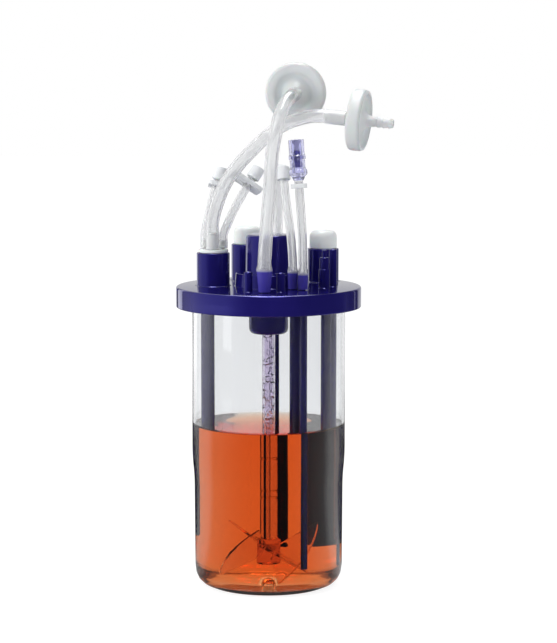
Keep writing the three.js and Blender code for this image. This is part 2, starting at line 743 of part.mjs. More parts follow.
// A disc filter whose inlet barb meets the hose end: two welded halves with the membrane between them.
function filter(name, centre, way) {
  const group = frameAt(centre, way);
  const below = filterHalf(FILTER_INLET_RIM, FILTER_INLET_BARB).rotateX(Math.PI);
  const inlet = piece(name + "_inlet_half", below, milky);
  const outlet = piece(name + "_outlet_half", filterHalf(FILTER_OUTLET_RIM, FILTER_OUTLET_BARB), milky);
  group.add(inlet, outlet, piece(name + "_membrane", membrane(), whitePlastic));
  return group;
}

// A slide clamp: a flat plate with a round eye for the open hose, which narrows to a pinching slot.
function slideClamp() {
  const eye = NARROW_HOSE_R + CLAMP_EYE_GAP;
  const half = CLAMP_SLOT_W / 2;
  const near = -CLAMP_EYE;
  const far = CLAMP_L - CLAMP_EYE;
  const y = CLAMP_W / 2;
  const r = 3;
  const plate = new THREE.Shape()
    .moveTo(near + r, -y)
    .lineTo(far - r, -y)
    .quadraticCurveTo(far, -y, far, -y + r)
    .lineTo(far, y - r)
    .quadraticCurveTo(far, y, far - r, y)
    .lineTo(near + r, y)
    .quadraticCurveTo(near, y, near, y - r)
    .lineTo(near, -y + r)
    .quadraticCurveTo(near, -y, near + r, -y);
  const open = Math.asin(half / eye);
  const keyhole = new THREE.Path()
    .absarc(0, 0, eye, open, 2 * Math.PI - open, false)
    .lineTo(CLAMP_SLOT_L, -half)
    .lineTo(CLAMP_SLOT_L, half)
    .closePath();
  plate.holes.push(keyhole);
  const body = new THREE.ExtrudeGeometry(plate, { depth: CLAMP_T, bevelEnabled: false, curveSegments: 5 });
  return body.translate(0, 0, -CLAMP_T / 2);
}

// The connector on a hose's end, and the cap screwed over it.
function luerConnector() {
  return turned(
    [
      [0.9, 0],
      [LUER_R - 0.4, 0],
      [LUER_R, 0.4],
      [LUER_R, LUER_H],
      [2.6, LUER_H],
      [2.4, LUER_TIP],
      [1.7, LUER_TIP],
      [0.9, LUER_H],
    ],
    ROUND_SMALL,
  );
}

function luerCap() {
  const inside = LUER_R + GAP;
  const roof = LUER_CAP_TOP - 1.6;
  return turned(
    [
      [0, LUER_CAP_TOP],
      [LUER_CAP_R - 0.7, LUER_CAP_TOP],
      [LUER_CAP_R, LUER_CAP_TOP - 0.7],
      [LUER_CAP_R, LUER_CAP_LOW],
      [inside, LUER_CAP_LOW],
      [inside, roof],
      [0, roof],
    ],
    ROUND_SMALL,
  );
}

// The valve's lower half: a hose neck, a gripping flange and a cup for the stem.
function valveBase() {
  return turned(
    [
      [1, 0],
      [3.5, 0],
      [3.5, 2.6],
      [5.2, 3.4],
      [6.55, 4.6],
      [6.55, 7.4],
      [5.5, 8.4],
      [5.5, VALVE_JOINT - GAP],
      [4.3, VALVE_JOINT - GAP],
      [4.3, VALVE_JOINT + 2],
      [VALVE_BORE_R, VALVE_JOINT + 2],
      [VALVE_BORE_R, VALVE_FLOOR],
      [1, VALVE_FLOOR],
    ],
    ROUND_SMALL,
  );
}

// Its upper half: a collar over the base and the threaded mouth that a syringe is pressed into.
function valveHousing() {
  return turned(
    [
      [4.3 + GAP, VALVE_JOINT],
      [6.2, VALVE_JOINT],
      [6.2, VALVE_JOINT + 2.4],
      [5.6, VALVE_JOINT + 3.2],
      [5.6, VALVE_LENGTH - 0.6],
      [5.1, VALVE_LENGTH],
      [VALVE_BORE_R, VALVE_LENGTH],
      [VALVE_BORE_R, VALVE_JOINT + 2 + GAP],
      [4.3 + GAP, VALVE_JOINT + 2 + GAP],
    ],
    ROUND_SMALL,
  );
}

// The elastic stem closes the mouth; a syringe presses it down by the travel.
function valveStem() {
  const low = VALVE_FLOOR + VALVE_TRAVEL + GAP;
  return turned(
    [
      [0, low],
      [VALVE_STEM_R, low],
      [VALVE_STEM_R, low + 3],
      [VALVE_STEM_R - 0.8, low + 4.5],
      [VALVE_STEM_R - 0.8, VALVE_LENGTH - 7],
      [VALVE_STEM_R, VALVE_LENGTH - 5.5],
      [VALVE_STEM_R, VALVE_LENGTH - 0.3],
      [0, VALVE_LENGTH],
    ],
    ROUND_SMALL,
  );
}

// ---- assembly ----

const bioreactor = new THREE.Group();

bioreactor.add(
  piece("vessel", vessel(), clearPlastic),
  piece("culture_medium", medium(), orangeMedium),
  piece("head_plate", headPlate(), indigo),
  piece("seal_ring", sealRing(), blackRubber),
  piece("bearing_cup", bearingCup(), darkIndigo),
  piece("bearing_bush", bearingBush(), whitePlastic),
  piece("pivot_pin", pivotPin(), magnetMetal),
  piece("magnet_carrier", magnetCarrier(), whitePlastic),
  piece("drive_magnet", driveMagnet(), magnetMetal),
  piece("stirrer_shaft", stirrerShaft(), shaftPlastic),
  piece("impeller", impeller(), clearPlastic),
  piece("port_plug", portPlug(), whitePlastic),
  piece("port_cap_rear_left", portCap(REAR_LEFT_PORT), whitePlastic),
  piece("port_cap_rear_right", portCap(REAR_RIGHT_PORT), whitePlastic),
  ...DIP_TUBES.map(([name, ...place], i) =>
    piece(name, i < SLEEVES ? sleeve(...place) : dipTube(...place), darkIndigo),
  ),
  piece("exhaust_hose", hose(EXHAUST_ROUTE, WIDE_HOSE_R, 12), milky),
  piece("gas_hose", hose(GAS_ROUTE, WIDE_HOSE_R, 12), milky),
);

for (const [name, route] of [
  ["exhaust_filter", EXHAUST_ROUTE],
  ["gas_filter", GAS_ROUTE],
]) {
  const { point, way } = hoseEnd(route);
  bioreactor.add(filter(name, point.addScaledVector(way, FILTER_REACH), way));
}

// Narrow hoses: [name, route, how far back its clamp sits, the way the clamp's long side points, the
// degrees it leans about that side]
const ACROSS = new THREE.Vector3(-1, -0.2, 0.6);
const BACKWARDS = new THREE.Vector3(0, 1, 0);
for (const [name, route, back, side, lean] of [
  ["left_line", LEFT_ROUTE, 3.2, BACKWARDS, 0],
  ["middle_line", MIDDLE_ROUTE, 4.5, ACROSS, 15],
  ["rear_line", REAR_ROUTE, 0, null, 0],
  ["front_line", FRONT_ROUTE, 0, null, 0],
  ["valve_line", VALVE_ROUTE, 3.4, BACKWARDS, 0],
]) {
  bioreactor.add(piece(name + "_hose", hose(route, NARROW_HOSE_R, 8), milky));
  if (side) {
    const { point, way } = placeOnHose(route, back);
    const group = frameAt(point, way, side).rotateX(THREE.MathUtils.degToRad(lean));
    group.add(piece(name + "_clamp", slideClamp(), whitePlastic));
    bioreactor.add(group);
  }
  const { point, way } = hoseEnd(route);
  const end = frameAt(point, way);
  if (name === "valve_line") {
    end.add(
      piece("valve_base", valveBase(), violetClear),
      piece("valve_housing", valveHousing(), violetClear),
      piece("valve_stem", valveStem(), silicone),
    );
  } else {
    end.add(
      piece(name + "_connector", luerConnector(), milky),
      piece(name + "_cap", luerCap(), whitePlastic),
    );
  }
  bioreactor.add(end);
}

export default bioreactor;
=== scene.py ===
import math
import bmesh
import bpy
import numpy as np
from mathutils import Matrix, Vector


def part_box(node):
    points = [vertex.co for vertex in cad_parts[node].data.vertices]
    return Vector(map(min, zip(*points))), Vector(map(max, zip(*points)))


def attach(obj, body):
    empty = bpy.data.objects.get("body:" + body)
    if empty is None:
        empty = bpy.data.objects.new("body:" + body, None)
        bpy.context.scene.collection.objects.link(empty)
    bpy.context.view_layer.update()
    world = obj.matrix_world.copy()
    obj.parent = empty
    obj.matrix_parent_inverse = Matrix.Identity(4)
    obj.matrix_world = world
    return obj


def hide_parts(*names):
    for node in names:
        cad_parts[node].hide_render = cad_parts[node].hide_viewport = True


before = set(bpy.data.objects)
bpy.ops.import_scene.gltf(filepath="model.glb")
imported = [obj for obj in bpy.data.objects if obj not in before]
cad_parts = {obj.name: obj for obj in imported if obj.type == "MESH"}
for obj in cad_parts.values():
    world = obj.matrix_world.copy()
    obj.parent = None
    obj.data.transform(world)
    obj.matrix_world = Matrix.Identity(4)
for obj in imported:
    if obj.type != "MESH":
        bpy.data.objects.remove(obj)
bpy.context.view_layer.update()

MM = 0.001
scene = bpy.context.scene
scene.view_settings.view_transform = "Standard"
scene.cycles.max_bounces = 32
scene.cycles.transmission_bounces = 32

# ---- camera ----
# A long lens a little above the object, looking down at it by some 7 degrees, so the head plate shows
# as a flat ellipse.
camera = bpy.data.objects.new("camera", bpy.data.cameras.new("camera"))
camera.data.sensor_width = 36
camera.data.lens = 129.3
camera.data.shift_x = 0.0154
camera.location = (0, -1.690, 0.407)
camera.rotation_euler = (math.radians(90 - 7.11), 0, 0)
scene.collection.objects.link(camera)
scene.camera = camera


# ---- hoses ----
# Seven lengths of extruded silicone hose, milky and half clear, pushed over their spigots and barbs.
# Each is a hollow tube that swells where the spigot's cone stretches it, where the spigot's
# colour also shows through the wetted wall.
def linear(code):
    """An sRGB hex colour as linear light: c / 12.92 up to 0.04045, ((c + 0.055) / 1.055)^2.4 above."""
    c = np.array([int(code[i : i + 2], 16) for i in (1, 3, 5)]) / 255
    return (*np.where(c > 0.04045, ((c + 0.055) / 1.055) ** 2.4, c / 12.92).tolist(), 1.0)


def put(tree, kind, settings):
    """Adds a node: a lower-case key is a property, any other an input; an output as value is a link."""
    made = tree.nodes.new("ShaderNode" + kind)
    for key, value in settings.items():
        if isinstance(key, str) and key[0].islower():
            setattr(made, key, value)
        elif isinstance(value, bpy.types.NodeSocket):
            tree.links.new(value, made.inputs[key])
        else:
            made.inputs[key].default_value = value
    return made


def finish(name, settings):
    """A material of one Principled surface with these constants; returns it, its tree and its surface."""
    material = bpy.data.materials.new(name)
    material.use_nodes = True
    tree = material.node_tree
    surface = tree.nodes["Principled BSDF"]
    for key, value in settings.items():
        surface.inputs[key].default_value = value
    return material, tree, surface


def moulded(name, tone, shade, rough, dimple, settings={}, slow=25, fine=900):
    """Moulded plastic: two close tones mixed by a slow noise; a fine noise gives gloss and bump, dimple mm
    deep. Both scales are waves in a metre: 25 is a cloud of 40 mm, as moulded parts show, and 900 a grain
    of 1.1 mm, coarser than the real tool marks so that it shows."""
    material, tree, surface = finish(name, settings)
    place = put(tree, "TexCoord", {}).outputs["Object"]
    cloud = put(tree, "TexNoise", {"Vector": place, "Scale": slow, "Detail": 3}).outputs["Fac"]
    grain = put(tree, "TexNoise", {"Vector": place, "Scale": fine, "Detail": 2}).outputs["Fac"]
    spread = put(tree, "MapRange", {"Value": cloud, "From Min": 0.35, "From Max": 0.65})
    tint = put(tree, "Mix", {"data_type": "RGBA", 0: spread.outputs[0], 6: linear(tone), 7: linear(shade)})
    gloss = put(tree, "MapRange", {"Value": grain, "To Min": rough[0], "To Max": rough[1]})
    bump = put(tree, "Bump", {"Height": grain, "Strength": 1, "Distance": dimple * MM})
    tree.links.new(tint.outputs[2], surface.inputs["Base Color"])
    tree.links.new(gloss.outputs[0], surface.inputs["Roughness"])
    tree.links.new(bump.outputs[0], surface.inputs["Normal"])
    return material


def silicone_hose(name, over_spigot, clear_there):
    """Extruded silicone, clear enough to show its bore, with die lines 1 to 2 mm apart along it and clouds of
    17 mm. Where along < 0 the spigot inside gives it its tone; over a fitting at the far end it is milkier."""
    material, tree, surface = finish(name, {"IOR": 1.41, "Specular IOR Level": 0.5})
    place = put(tree, "TexCoord", {}).outputs["Object"]
    along = put(tree, "Attribute", {"attribute_name": "along"}).outputs["Fac"]
    before = put(tree, "Attribute", {"attribute_name": "before_end"}).outputs["Fac"]
    around = put(tree, "Attribute", {"attribute_name": "around"}).outputs["Fac"]
    line = put(tree, "CombineXYZ", {"X": around, "Y": along})
    line = put(tree, "Mapping", {"Vector": line.outputs[0], "Scale": (1, 0.03, 1)})
    lines = put(tree, "TexNoise", {"Vector": line.outputs[0], "Scale": 3, "Detail": 2}).outputs["Fac"]
    cloud = put(tree, "TexNoise", {"Vector": place, "Scale": 60, "Detail": 2}).outputs["Fac"]
    milk = put(tree, "Mix", {"data_type": "RGBA", 0: cloud, 6: linear("#FFFFFF"), 7: linear("#F9FAFB")})
    wet = put(tree, "MapRange", {"Value": along, "From Min": -1.5, "From Max": 0.5}).outputs[0]
    tint = put(tree, "Mix", {"data_type": "RGBA", 0: wet, 6: linear(over_spigot), 7: milk.outputs[2]})
    barbed = put(
        tree, "MapRange", {"Value": before, "From Min": -3, "From Max": 2, "To Min": 0.5, "To Max": 0.8}
    )
    through = put(tree, "MapRange", {"Value": wet, "To Min": clear_there, "To Max": barbed.outputs[0]})
    gloss = put(tree, "MapRange", {"Value": lines, "To Min": 0.12, "To Max": 0.2})
    bump = put(tree, "Bump", {"Height": lines, "Strength": 0.5, "Distance": 0.05 * MM})
    tree.links.new(tint.outputs[2], surface.inputs["Base Color"])
    tree.links.new(through.outputs[0], surface.inputs["Transmission Weight"])
    tree.links.new(gloss.outputs[0], surface.inputs["Roughness"])
    tree.links.new(bump.outputs[0], surface.inputs["Normal"])
    return material


def skin(name, grid, material, body, closed=False, crease=32, fields={}):
    """A grid of points in mm, columns wrapping round, as one smooth shell with its doubles merged."""
    rows, columns = grid.shape[:2]
    index = np.arange(rows * columns).reshape(rows, columns)
    if closed:
        index = np.vstack([index, index[:1]])
    beside = np.roll(index, -1, axis=1)
    quads = np.stack([index[:-1], beside[:-1], beside[1:], index[1:]], axis=-1).reshape(-1, 4)
    mesh = bpy.data.meshes.new(name)
    mesh.from_pydata((grid.reshape(-1, 3) * MM).tolist(), [], quads.tolist())
    for field, values in fields.items():
        layer = mesh.attributes.new(field, "FLOAT", "POINT")
        layer.data.foreach_set("value", np.asarray(values, dtype=np.float32).reshape(-1))
    made = bmesh.new()
    made.from_mesh(mesh)
    bmesh.ops.remove_doubles(made, verts=made.verts, dist=1e-6)
    bmesh.ops.recalc_face_normals(made, faces=made.faces)
    made.to_mesh(mesh)
    made.free()
    mesh.shade_smooth()
    mesh.set_sharp_from_angle(angle=math.radians(crease))
    mesh.materials.append(material)
    piece = bpy.data.objects.new(name, mesh)
    scene.collection.objects.link(piece)
    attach(piece, body)
    return piece


def smooth_route(points, steps=8):
    """A cubic between each pair of points, its end slopes from the neighbours and its knots spaced by
    the square root of the distance (centripetal Catmull-Rom)."""
    p = np.array(points, dtype=float)
    p = np.vstack([2 * p[0] - p[1], p, 2 * p[-1] - p[-2]])
    gap = np.sqrt(np.linalg.norm(np.diff(p, axis=0), axis=1))[:, None]
    a, b, c, d = p[:-3], p[1:-2], p[2:-1], p[3:]
    g0, g1, g2 = gap[:-2], gap[1:-1], gap[2:]
    start = ((b - a) / g0 - (c - a) / (g0 + g1) + (c - b) / g1) * g1
    end = ((c - b) / g1 - (d - b) / (g1 + g2) + (d - c) / g2) * g1
    t = (np.arange(steps) / steps)[None, :, None]
    b, c, start, end = (v[:, None, :] for v in (b, c, start, end))
    curve = (
        (2 * t**3 - 3 * t**2 + 1) * b
        + (t**3 - 2 * t**2 + t) * start
        + (3 * t**2 - 2 * t**3) * c
        + (t**3 - t**2) * end
    ).reshape(-1, 3)
    curve = np.vstack([curve, p[-2]])
    for _ in range(12):
        curve[1:-1] += 0.25 * (curve[:-2] - 2 * curve[1:-1] + curve[2:])
    return curve


def swept(path, outer, inner, sides=40):
    """A hollow tube: circles of the outer radii along the path and back along it with the inner radii,
    each in the plane of two axes square to the path, kept from twisting by one fixed direction."""
    way = np.gradient(path, axis=0)
    way /= np.linalg.norm(way, axis=1)[:, None]
    steady = np.array([0.94, 0.34, 0.05])
    across = np.cross(way, steady)
    across /= np.linalg.norm(across, axis=1)[:, None]
    up = np.cross(way, across)
    turn = np.linspace(0, 2 * np.pi, sides, endpoint=False)[None, :, None]
    ring = np.cos(turn) * across[:, None, :] + np.sin(turn) * up[:, None, :]
    outside = path[:, None, :] + outer[:, None, None] * ring
    inside = path[:, None, :] + inner[:, None, None] * ring
    return np.vstack([outside, inside[::-1]])


def along_route(path):
    """The distance of each point from the start, in mm."""
    return np.concatenate([[0], np.cumsum(np.linalg.norm(np.diff(path, axis=0), axis=1))])


# Points in mm on each hose's middle line, from its foot on the deck or on the plug to its far end.
EXHAUST_ROUTE = [
    (-3, -47, 223.4), (-3, -47, 232), (-3, -47, 240.4), (-3, -47, 245.2), (-2.4, -45.8, 254),
    (-1.5, -43.5, 267.5), (-0.7, -41.5, 278), (0.6, -39, 291), (1.6, -36.8, 306.5), (2.4, -35.2, 320.5),
    (4, -33.6, 331), (6.2, -31.4, 341), (8.7, -28.9, 350.4), (11.6, -24.8, 356.4), (14.2, -20.2, 359.9),
    (16.3, -14.9, 361.8), (17.2, -8.5, 362.3),
]
GAS_ROUTE = [
    (-41.2, -2.5, 250.2), (-41.2, -2.5, 256), (-41.2, -2.5, 262.5), (-41.2, -2.5, 267.2), (-40.5, -4, 273),
    (-39, -5.8, 279), (-36.8, -7.6, 285.8), (-32.4, -9, 296.8), (-27, -8.8, 305.6),
    (-20.4, -7.6, 313.8), (-13, -5.7, 321.6), (-4.8, -3.4, 329.8), (3, -1.6, 336), (12, -0.6, 341.4),
    (20.5, -0.7, 344.7), (28.5, -2, 346.8), (35.6, -4, 347.6), (41.8, -5.7, 347.1),
]
LEFT_ROUTE = [
    (-47, 7.5, 250.2), (-47, 7.5, 256.5), (-47, 7.5, 260), (-46, 8.4, 265.5), (-44.6, 9.7, 272),
    (-43, 11.6, 279.5), (-41, 13.8, 287.6), (-38.7, 15.8, 295.2), (-37.5, 16.5, 299),
]
MIDDLE_ROUTE = [
    (-33.3, 5.5, 250.2), (-33.3, 5.5, 256.5), (-33.3, 5.5, 259.5), (-31.6, 6.7, 264.5), (-28.8, 8.7, 271),
    (-25.7, 11, 277.6), (-22.1, 13.2, 284.4), (-18.2, 15.2, 291), (-14.6, 16.8, 296.6), (-12.4, 17.8, 300),
]
REAR_ROUTE = [
    (7.2, 40, 223.4), (7.2, 40, 230), (7.2, 40, 236.8), (7.2, 40, 241), (7.2, 39.6, 248),
    (7.3, 38.8, 257.5), (7.4, 37.4, 268.2), (7.6, 35.6, 279.6), (7.8, 34, 290.2), (8, 33, 299.5),
]
FRONT_ROUTE = [
    (17.5, -25.5, 223.4), (17.5, -25.5, 230), (17.5, -25.5, 236.8), (17.5, -25.5, 241), (17.1, -24.9, 249),
    (16.4, -23.4, 258), (15, -20.2, 270), (13.4, -16.2, 281.4), (12, -12, 291.6), (11.2, -9, 300.4),
]
VALVE_ROUTE = [
    (24.8, -30, 223.4), (24.8, -30, 229), (24.8, -30, 235.9), (24.8, -30, 240), (24.7, -29.9, 248),
    (24.5, -29.4, 259), (23.9, -28.5, 270.5), (23.2, -27.5, 281), (22.4, -26.6, 291), (21.7, -25.8, 301.3),
]
DECK_TOP = 222.7
WIDE_R, WIDE_BORE = 4.9, 3.1
NARROW_R, NARROW_BORE = 3.175, 1.6
# How soon a swelling settles, the share of it that the bore takes, and the gap to what is on the far end.
SETTLE, BORE_SHARE, END_GAP = 2.4, 0.9, 0.3
silicone = silicone_hose("silicone_hose_over_indigo_spigot", "#443DA0", 0.2)
silicone_white = silicone_hose("silicone_hose_over_white_spigot", "#FAFBFA", 0.6)
wide, narrow = (WIDE_R, WIDE_BORE), (NARROW_R, NARROW_BORE)
# name: route, outer and bore radius, height of the cone's top edge, swelling there, swelling at the
# foot, length pushed over the fitting at the far end, swelling there, finish, what is on the far end
hoses = {
    "exhaust_hose": (EXHAUST_ROUTE, wide, 239.4, 0.95, -0.55, 15, 0.35, silicone, "fitting"),
    "gas_hose": (GAS_ROUTE, wide, 261.6, 0.1, 0, 15, 0.35, silicone_white, "fitting"),
    "left_line_hose": (LEFT_ROUTE, narrow, 256.0, 0.12, 0, 0, 0, silicone_white, "connector"),
    "middle_line_hose": (MIDDLE_ROUTE, narrow, 256.0, 0.12, 0, 0, 0, silicone_white, "connector"),
    "rear_line_hose": (REAR_ROUTE, narrow, 236.0, 0.65, 0.25, 0, 0, silicone, "connector"),
    "front_line_hose": (FRONT_ROUTE, narrow, 236.0, 0.65, 0.25, 0, 0, silicone, "connector"),
    "valve_line_hose": (VALVE_ROUTE, narrow, 235.0, 0.65, 0.25, 0, 0, silicone, "fitting"),
}
ends = {}
for name, (route, size, cone, swell, foot, pushed, far_swell, rubbery, far_end) in hoses.items():
    radius, bore = size
    path = smooth_route(route)
    way = path[-1] - path[-2]
    way /= np.linalg.norm(way)
    ends[name] = (path[-1] + END_GAP * way, way)
    if pushed:
        extra = path[-1] + np.linspace(0, pushed, 9)[1:, None] * way
        path = np.vstack([path, extra])
    distance = along_route(path)
    beyond = distance - (cone - route[0][2])
    left = distance[-1] - distance - pushed
    # Over the spigot the hose swells in a straight line towards the cone, then settles back as
    # exp(-(distance / SETTLE)^2); the bore takes BORE_SHARE of the swelling.
    rise = np.clip((distance / max(cone - route[0][2], 1)), 0, 1)
    swelling = np.where(beyond < 0, foot + (swell - foot) * rise, swell * np.exp(-((beyond / SETTLE) ** 2)))
    far = np.where(left < 0, far_swell, far_swell * np.exp(-((left / SETTLE) ** 2))) if pushed else 0 * left
    outer = radius + swelling + far
    inner = bore + swelling * BORE_SHARE + far * BORE_SHARE
    grid = swept(path, outer, inner)
    sides = grid.shape[1]
    both = np.concatenate([beyond, beyond[::-1]])
    to_end = np.concatenate([left, left[::-1]])
    hose = skin(
        name + "_soft", grid, rubbery, "base", closed=True, crease=50,
        fields={
            "along": np.repeat(both, sides),
            "before_end": np.repeat(to_end, sides),
            "around": np.tile(np.abs(np.linspace(-1, 1, sides)) * 3, len(both)),
        },
    )
    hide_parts(name)
    hoses[name] = (hose, path, distance[-1], radius, far_end)


# ---- vessel ----
# A clear polycarbonate jar, blow moulded in one piece: a straight wall with a soft step where it
# widens, a wide bottom corner, a small hollow dome in the middle of its floor, and a flange on top.
def softened(corners, parts=6):
    """An outline of (r, z, f): each corner becomes a quadratic Bezier that leaves the outline's two
    sides f mm before and after it, so f = 0 keeps the corner sharp."""
    c = np.array(corners, dtype=float)
    p, f = c[:, :2], c[:, 2:]
    back = np.roll(p, 1, axis=0) - p
    on = np.roll(p, -1, axis=0) - p
    back /= np.linalg.norm(back, axis=1)[:, None]
    on /= np.linalg.norm(on, axis=1)[:, None]
    t = np.linspace(0, 1, parts)[None, :, None]
    a, b, m = (p + f * back)[:, None], (p + f * on)[:, None], p[:, None]
    return ((1 - t) ** 2 * a + 2 * t * (1 - t) * m + t**2 * b).reshape(-1, 2)


def turned(name, outline, material, body, centre=(0, 0), sides=96, crease=32, flute=None, place=None):
    """An (r, z) outline, closed on itself, turned about the vertical through centre; flute(angle, z)
    adds to r. place, if given, is the point and the way of an axis that it is laid along instead."""
    turn = np.linspace(0, 2 * np.pi, sides, endpoint=False)[None, :]
    r, z = outline[:, :1] + 0 * turn, outline[:, 1:] + 0 * turn
    if flute:
        r = np.where(r > 1e-6, r + flute(turn, z), r)
    grid = np.stack([r * np.cos(turn), r * np.sin(turn), z], axis=-1)
    if place:
        point, way = place
        side = np.cross(way, (0.12, 0.35, 0.93))
        side /= np.linalg.norm(side)
        grid = grid @ np.stack([side, np.cross(way, side), way]) + point
    else:
        grid = grid + np.array([centre[0], centre[1], 0])
    return skin(name, grid, material, body, closed=True, crease=crease)


# Blown against a smooth mould: all but colourless, with a ripple of 70 mm that bends what shows through
# it, and a haze of 6 mm.
clear, tree, surface = finish(
    "blow_moulded_clear_polycarbonate",
    {"Base Color": linear("#F4F5F6"), "Transmission Weight": 1, "IOR": 1.55, "Specular IOR Level": 0.25},
)
place = put(tree, "TexCoord", {}).outputs["Object"]
ripple = put(tree, "TexNoise", {"Vector": place, "Scale": 14, "Detail": 2}).outputs["Fac"]
haze = put(tree, "TexNoise", {"Vector": place, "Scale": 160, "Detail": 3}).outputs["Fac"]
gloss = put(tree, "MapRange", {"Value": haze, "To Min": 0.0, "To Max": 0.03})
bump = put(tree, "Bump", {"Height": ripple, "Strength": 1, "Distance": 0.12 * MM})
tree.links.new(gloss.outputs[0], surface.inputs["Roughness"])
tree.links.new(bump.outputs[0], surface.inputs["Normal"])

WALL_TOP_R, WALL_LOW_R, WALL_FOOT_R, WALL = 56.5, 55.0, 54.5, 2.0
STEP_LOW, STEP_HIGH, STEP_SOFT = 81, 97, 7
CORNER_OUT, CORNER_IN = 14.5, 8.5
VESSEL_TOP, FLOOR_TOP, FLANGE_LOW, FLANGE_R = 213.9, 4.4, 210.9, 62
DOME_FOOT_R, DOME_R, DOME_RISE, DOME_SOFT = 5.6, 4.4, 3.6, 2.9
RECESS_FOOT_R, RECESS_R, RECESS_RISE = 4.2, 3.4, 6.2
inside = [
    (WALL_TOP_R - WALL, VESSEL_TOP, 0.6),
    (WALL_TOP_R - WALL, STEP_HIGH, STEP_SOFT),
    (WALL_LOW_R - WALL, STEP_LOW, STEP_SOFT),
    (WALL_FOOT_R - WALL, FLOOR_TOP, CORNER_IN),
    (DOME_FOOT_R, FLOOR_TOP, 0.8),
    (DOME_R, FLOOR_TOP + DOME_RISE, DOME_SOFT),
    (0, FLOOR_TOP + DOME_RISE, 0),
]
outside = [
    (0, RECESS_RISE, 0),
    (RECESS_R, RECESS_RISE, 2.8),
    (RECESS_FOOT_R, 0, 0.6),
    (WALL_FOOT_R, 0, CORNER_OUT),
    (WALL_LOW_R, STEP_LOW, STEP_SOFT),
    (WALL_TOP_R, STEP_HIGH, STEP_SOFT),
    (WALL_TOP_R, FLANGE_LOW, 0.7),
    (FLANGE_R, FLANGE_LOW, 0.5),
    (FLANGE_R, VESSEL_TOP, 0.5),
]
vessel = turned("vessel_wall", softened(outside + inside), clear, "base", sides=160, crease=40)
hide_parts("vessel")

# ---- culture medium ----
# A still, clear orange liquid. It wets the wall, so its skin lies just inside the plastic, and it
# climbs a little where it meets the wall.
LEVEL = 120.5
wet = 0.15
# A thin layer of it is yellow and a thick one a deep orange, because the light that crosses it loses
# blue and then green with the distance.
medium_material, tree, surface = finish(
    "orange_culture_medium",
    {"Base Color": (1, 1, 1, 1), "Transmission Weight": 1, "Roughness": 0, "IOR": 1.333},
)
depth = put(tree, "VolumeAbsorption", {"Color": (0.952, 0.49, 0.03, 1), "Density": 42})
tree.links.new(depth.outputs[0], tree.nodes["Material Output"].inputs["Volume"])
place = put(tree, "TexCoord", {}).outputs["Object"]
stir = put(tree, "TexNoise", {"Vector": place, "Scale": 22, "Detail": 1}).outputs["Fac"]
bump = put(tree, "Bump", {"Height": stir, "Strength": 1, "Distance": 0.06 * MM})
tree.links.new(bump.outputs[0], surface.inputs["Normal"])
medium = turned(
    "culture_medium_body",
    softened(
        [
            (0, FLOOR_TOP + DOME_RISE - wet, 0),
            (DOME_R - wet, FLOOR_TOP + DOME_RISE - wet, DOME_SOFT),
            (DOME_FOOT_R - wet, FLOOR_TOP - wet, 0.8),
            (WALL_FOOT_R - WALL + wet, FLOOR_TOP - wet, CORNER_IN),
            (WALL_LOW_R - WALL + wet, STEP_LOW, STEP_SOFT),
            (WALL_TOP_R - WALL + wet, STEP_HIGH, STEP_SOFT),
            (WALL_TOP_R - WALL + wet, LEVEL + 1.6, 0),
            (WALL_TOP_R - WALL - 0.3, LEVEL, 1.2),
            (WALL_TOP_R - WALL - 4, LEVEL, 1.5),
            (0, LEVEL, 0),
        ]
    ),
    medium_material, "base", sides=160, crease=40,
)
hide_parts("culture_medium")

# ---- head plate ----
# One glossy indigo moulding: a disc with a deep skirt, a collar and the hollow drive housing in its
# middle, three wide ports, hose spigots and closed nipples. Its tool was polished, so it is nearly black
# where it faces a dark room and has sharp blue reflections.
indigo = moulded(
    "injection_moulded_indigo_gloss", "#1D185E", "#191556", (0.05, 0.09), 0.004,
    {
        "IOR": 1.6, "Specular IOR Level": 1.0, "Specular Tint": (0.03, 0.03, 0.6, 1),
        "Coat Weight": 0.5, "Coat Roughness": 0.03,
    },
)
PLATE_R, SKIRT_BORE, RIM_LOW, DECK_UNDER = 68.2, 62.3, 207.6, 214.2
COLLAR_R, COLLAR_TOP = 24.1, DECK_TOP + 9.9
HOUSING_R, HOUSING_FOOT_R, HOUSING_TOP = 16.6, 17, DECK_TOP + 38.1
DRIVE_BORE, DRIVE_ROOF, SEAT_R, SEAT_TOP = 13.2, 258.3, 14.45, 220.2
plate = turned(
    "head_plate_disc",
    softened(
        [
            (SKIRT_BORE, RIM_LOW, 0.4),
            (PLATE_R, RIM_LOW, 0.9),
            (PLATE_R, DECK_TOP, 1.7),
            (COLLAR_R + 0.7, DECK_TOP, 0.6),
            (COLLAR_R, COLLAR_TOP, 0.9),
            (HOUSING_FOOT_R, COLLAR_TOP, 0.6),
            (HOUSING_R, HOUSING_TOP, 3.0),
            (0, HOUSING_TOP, 0),
            (0, DRIVE_ROOF, 0),
            (DRIVE_BORE, DRIVE_ROOF, 0.5),
            (DRIVE_BORE, SEAT_TOP, 0),
            (SEAT_R, SEAT_TOP, 0),
            (SEAT_R, DECK_UNDER, 0.3),
            (SKIRT_BORE, DECK_UNDER, 0.5),
        ]
    ),
    indigo, "base", sides=192,
)
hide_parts("head_plate")
# What stands on the deck starts SUNK mm under its surface.
SUNK, PORT_WALL = 2, 2.95
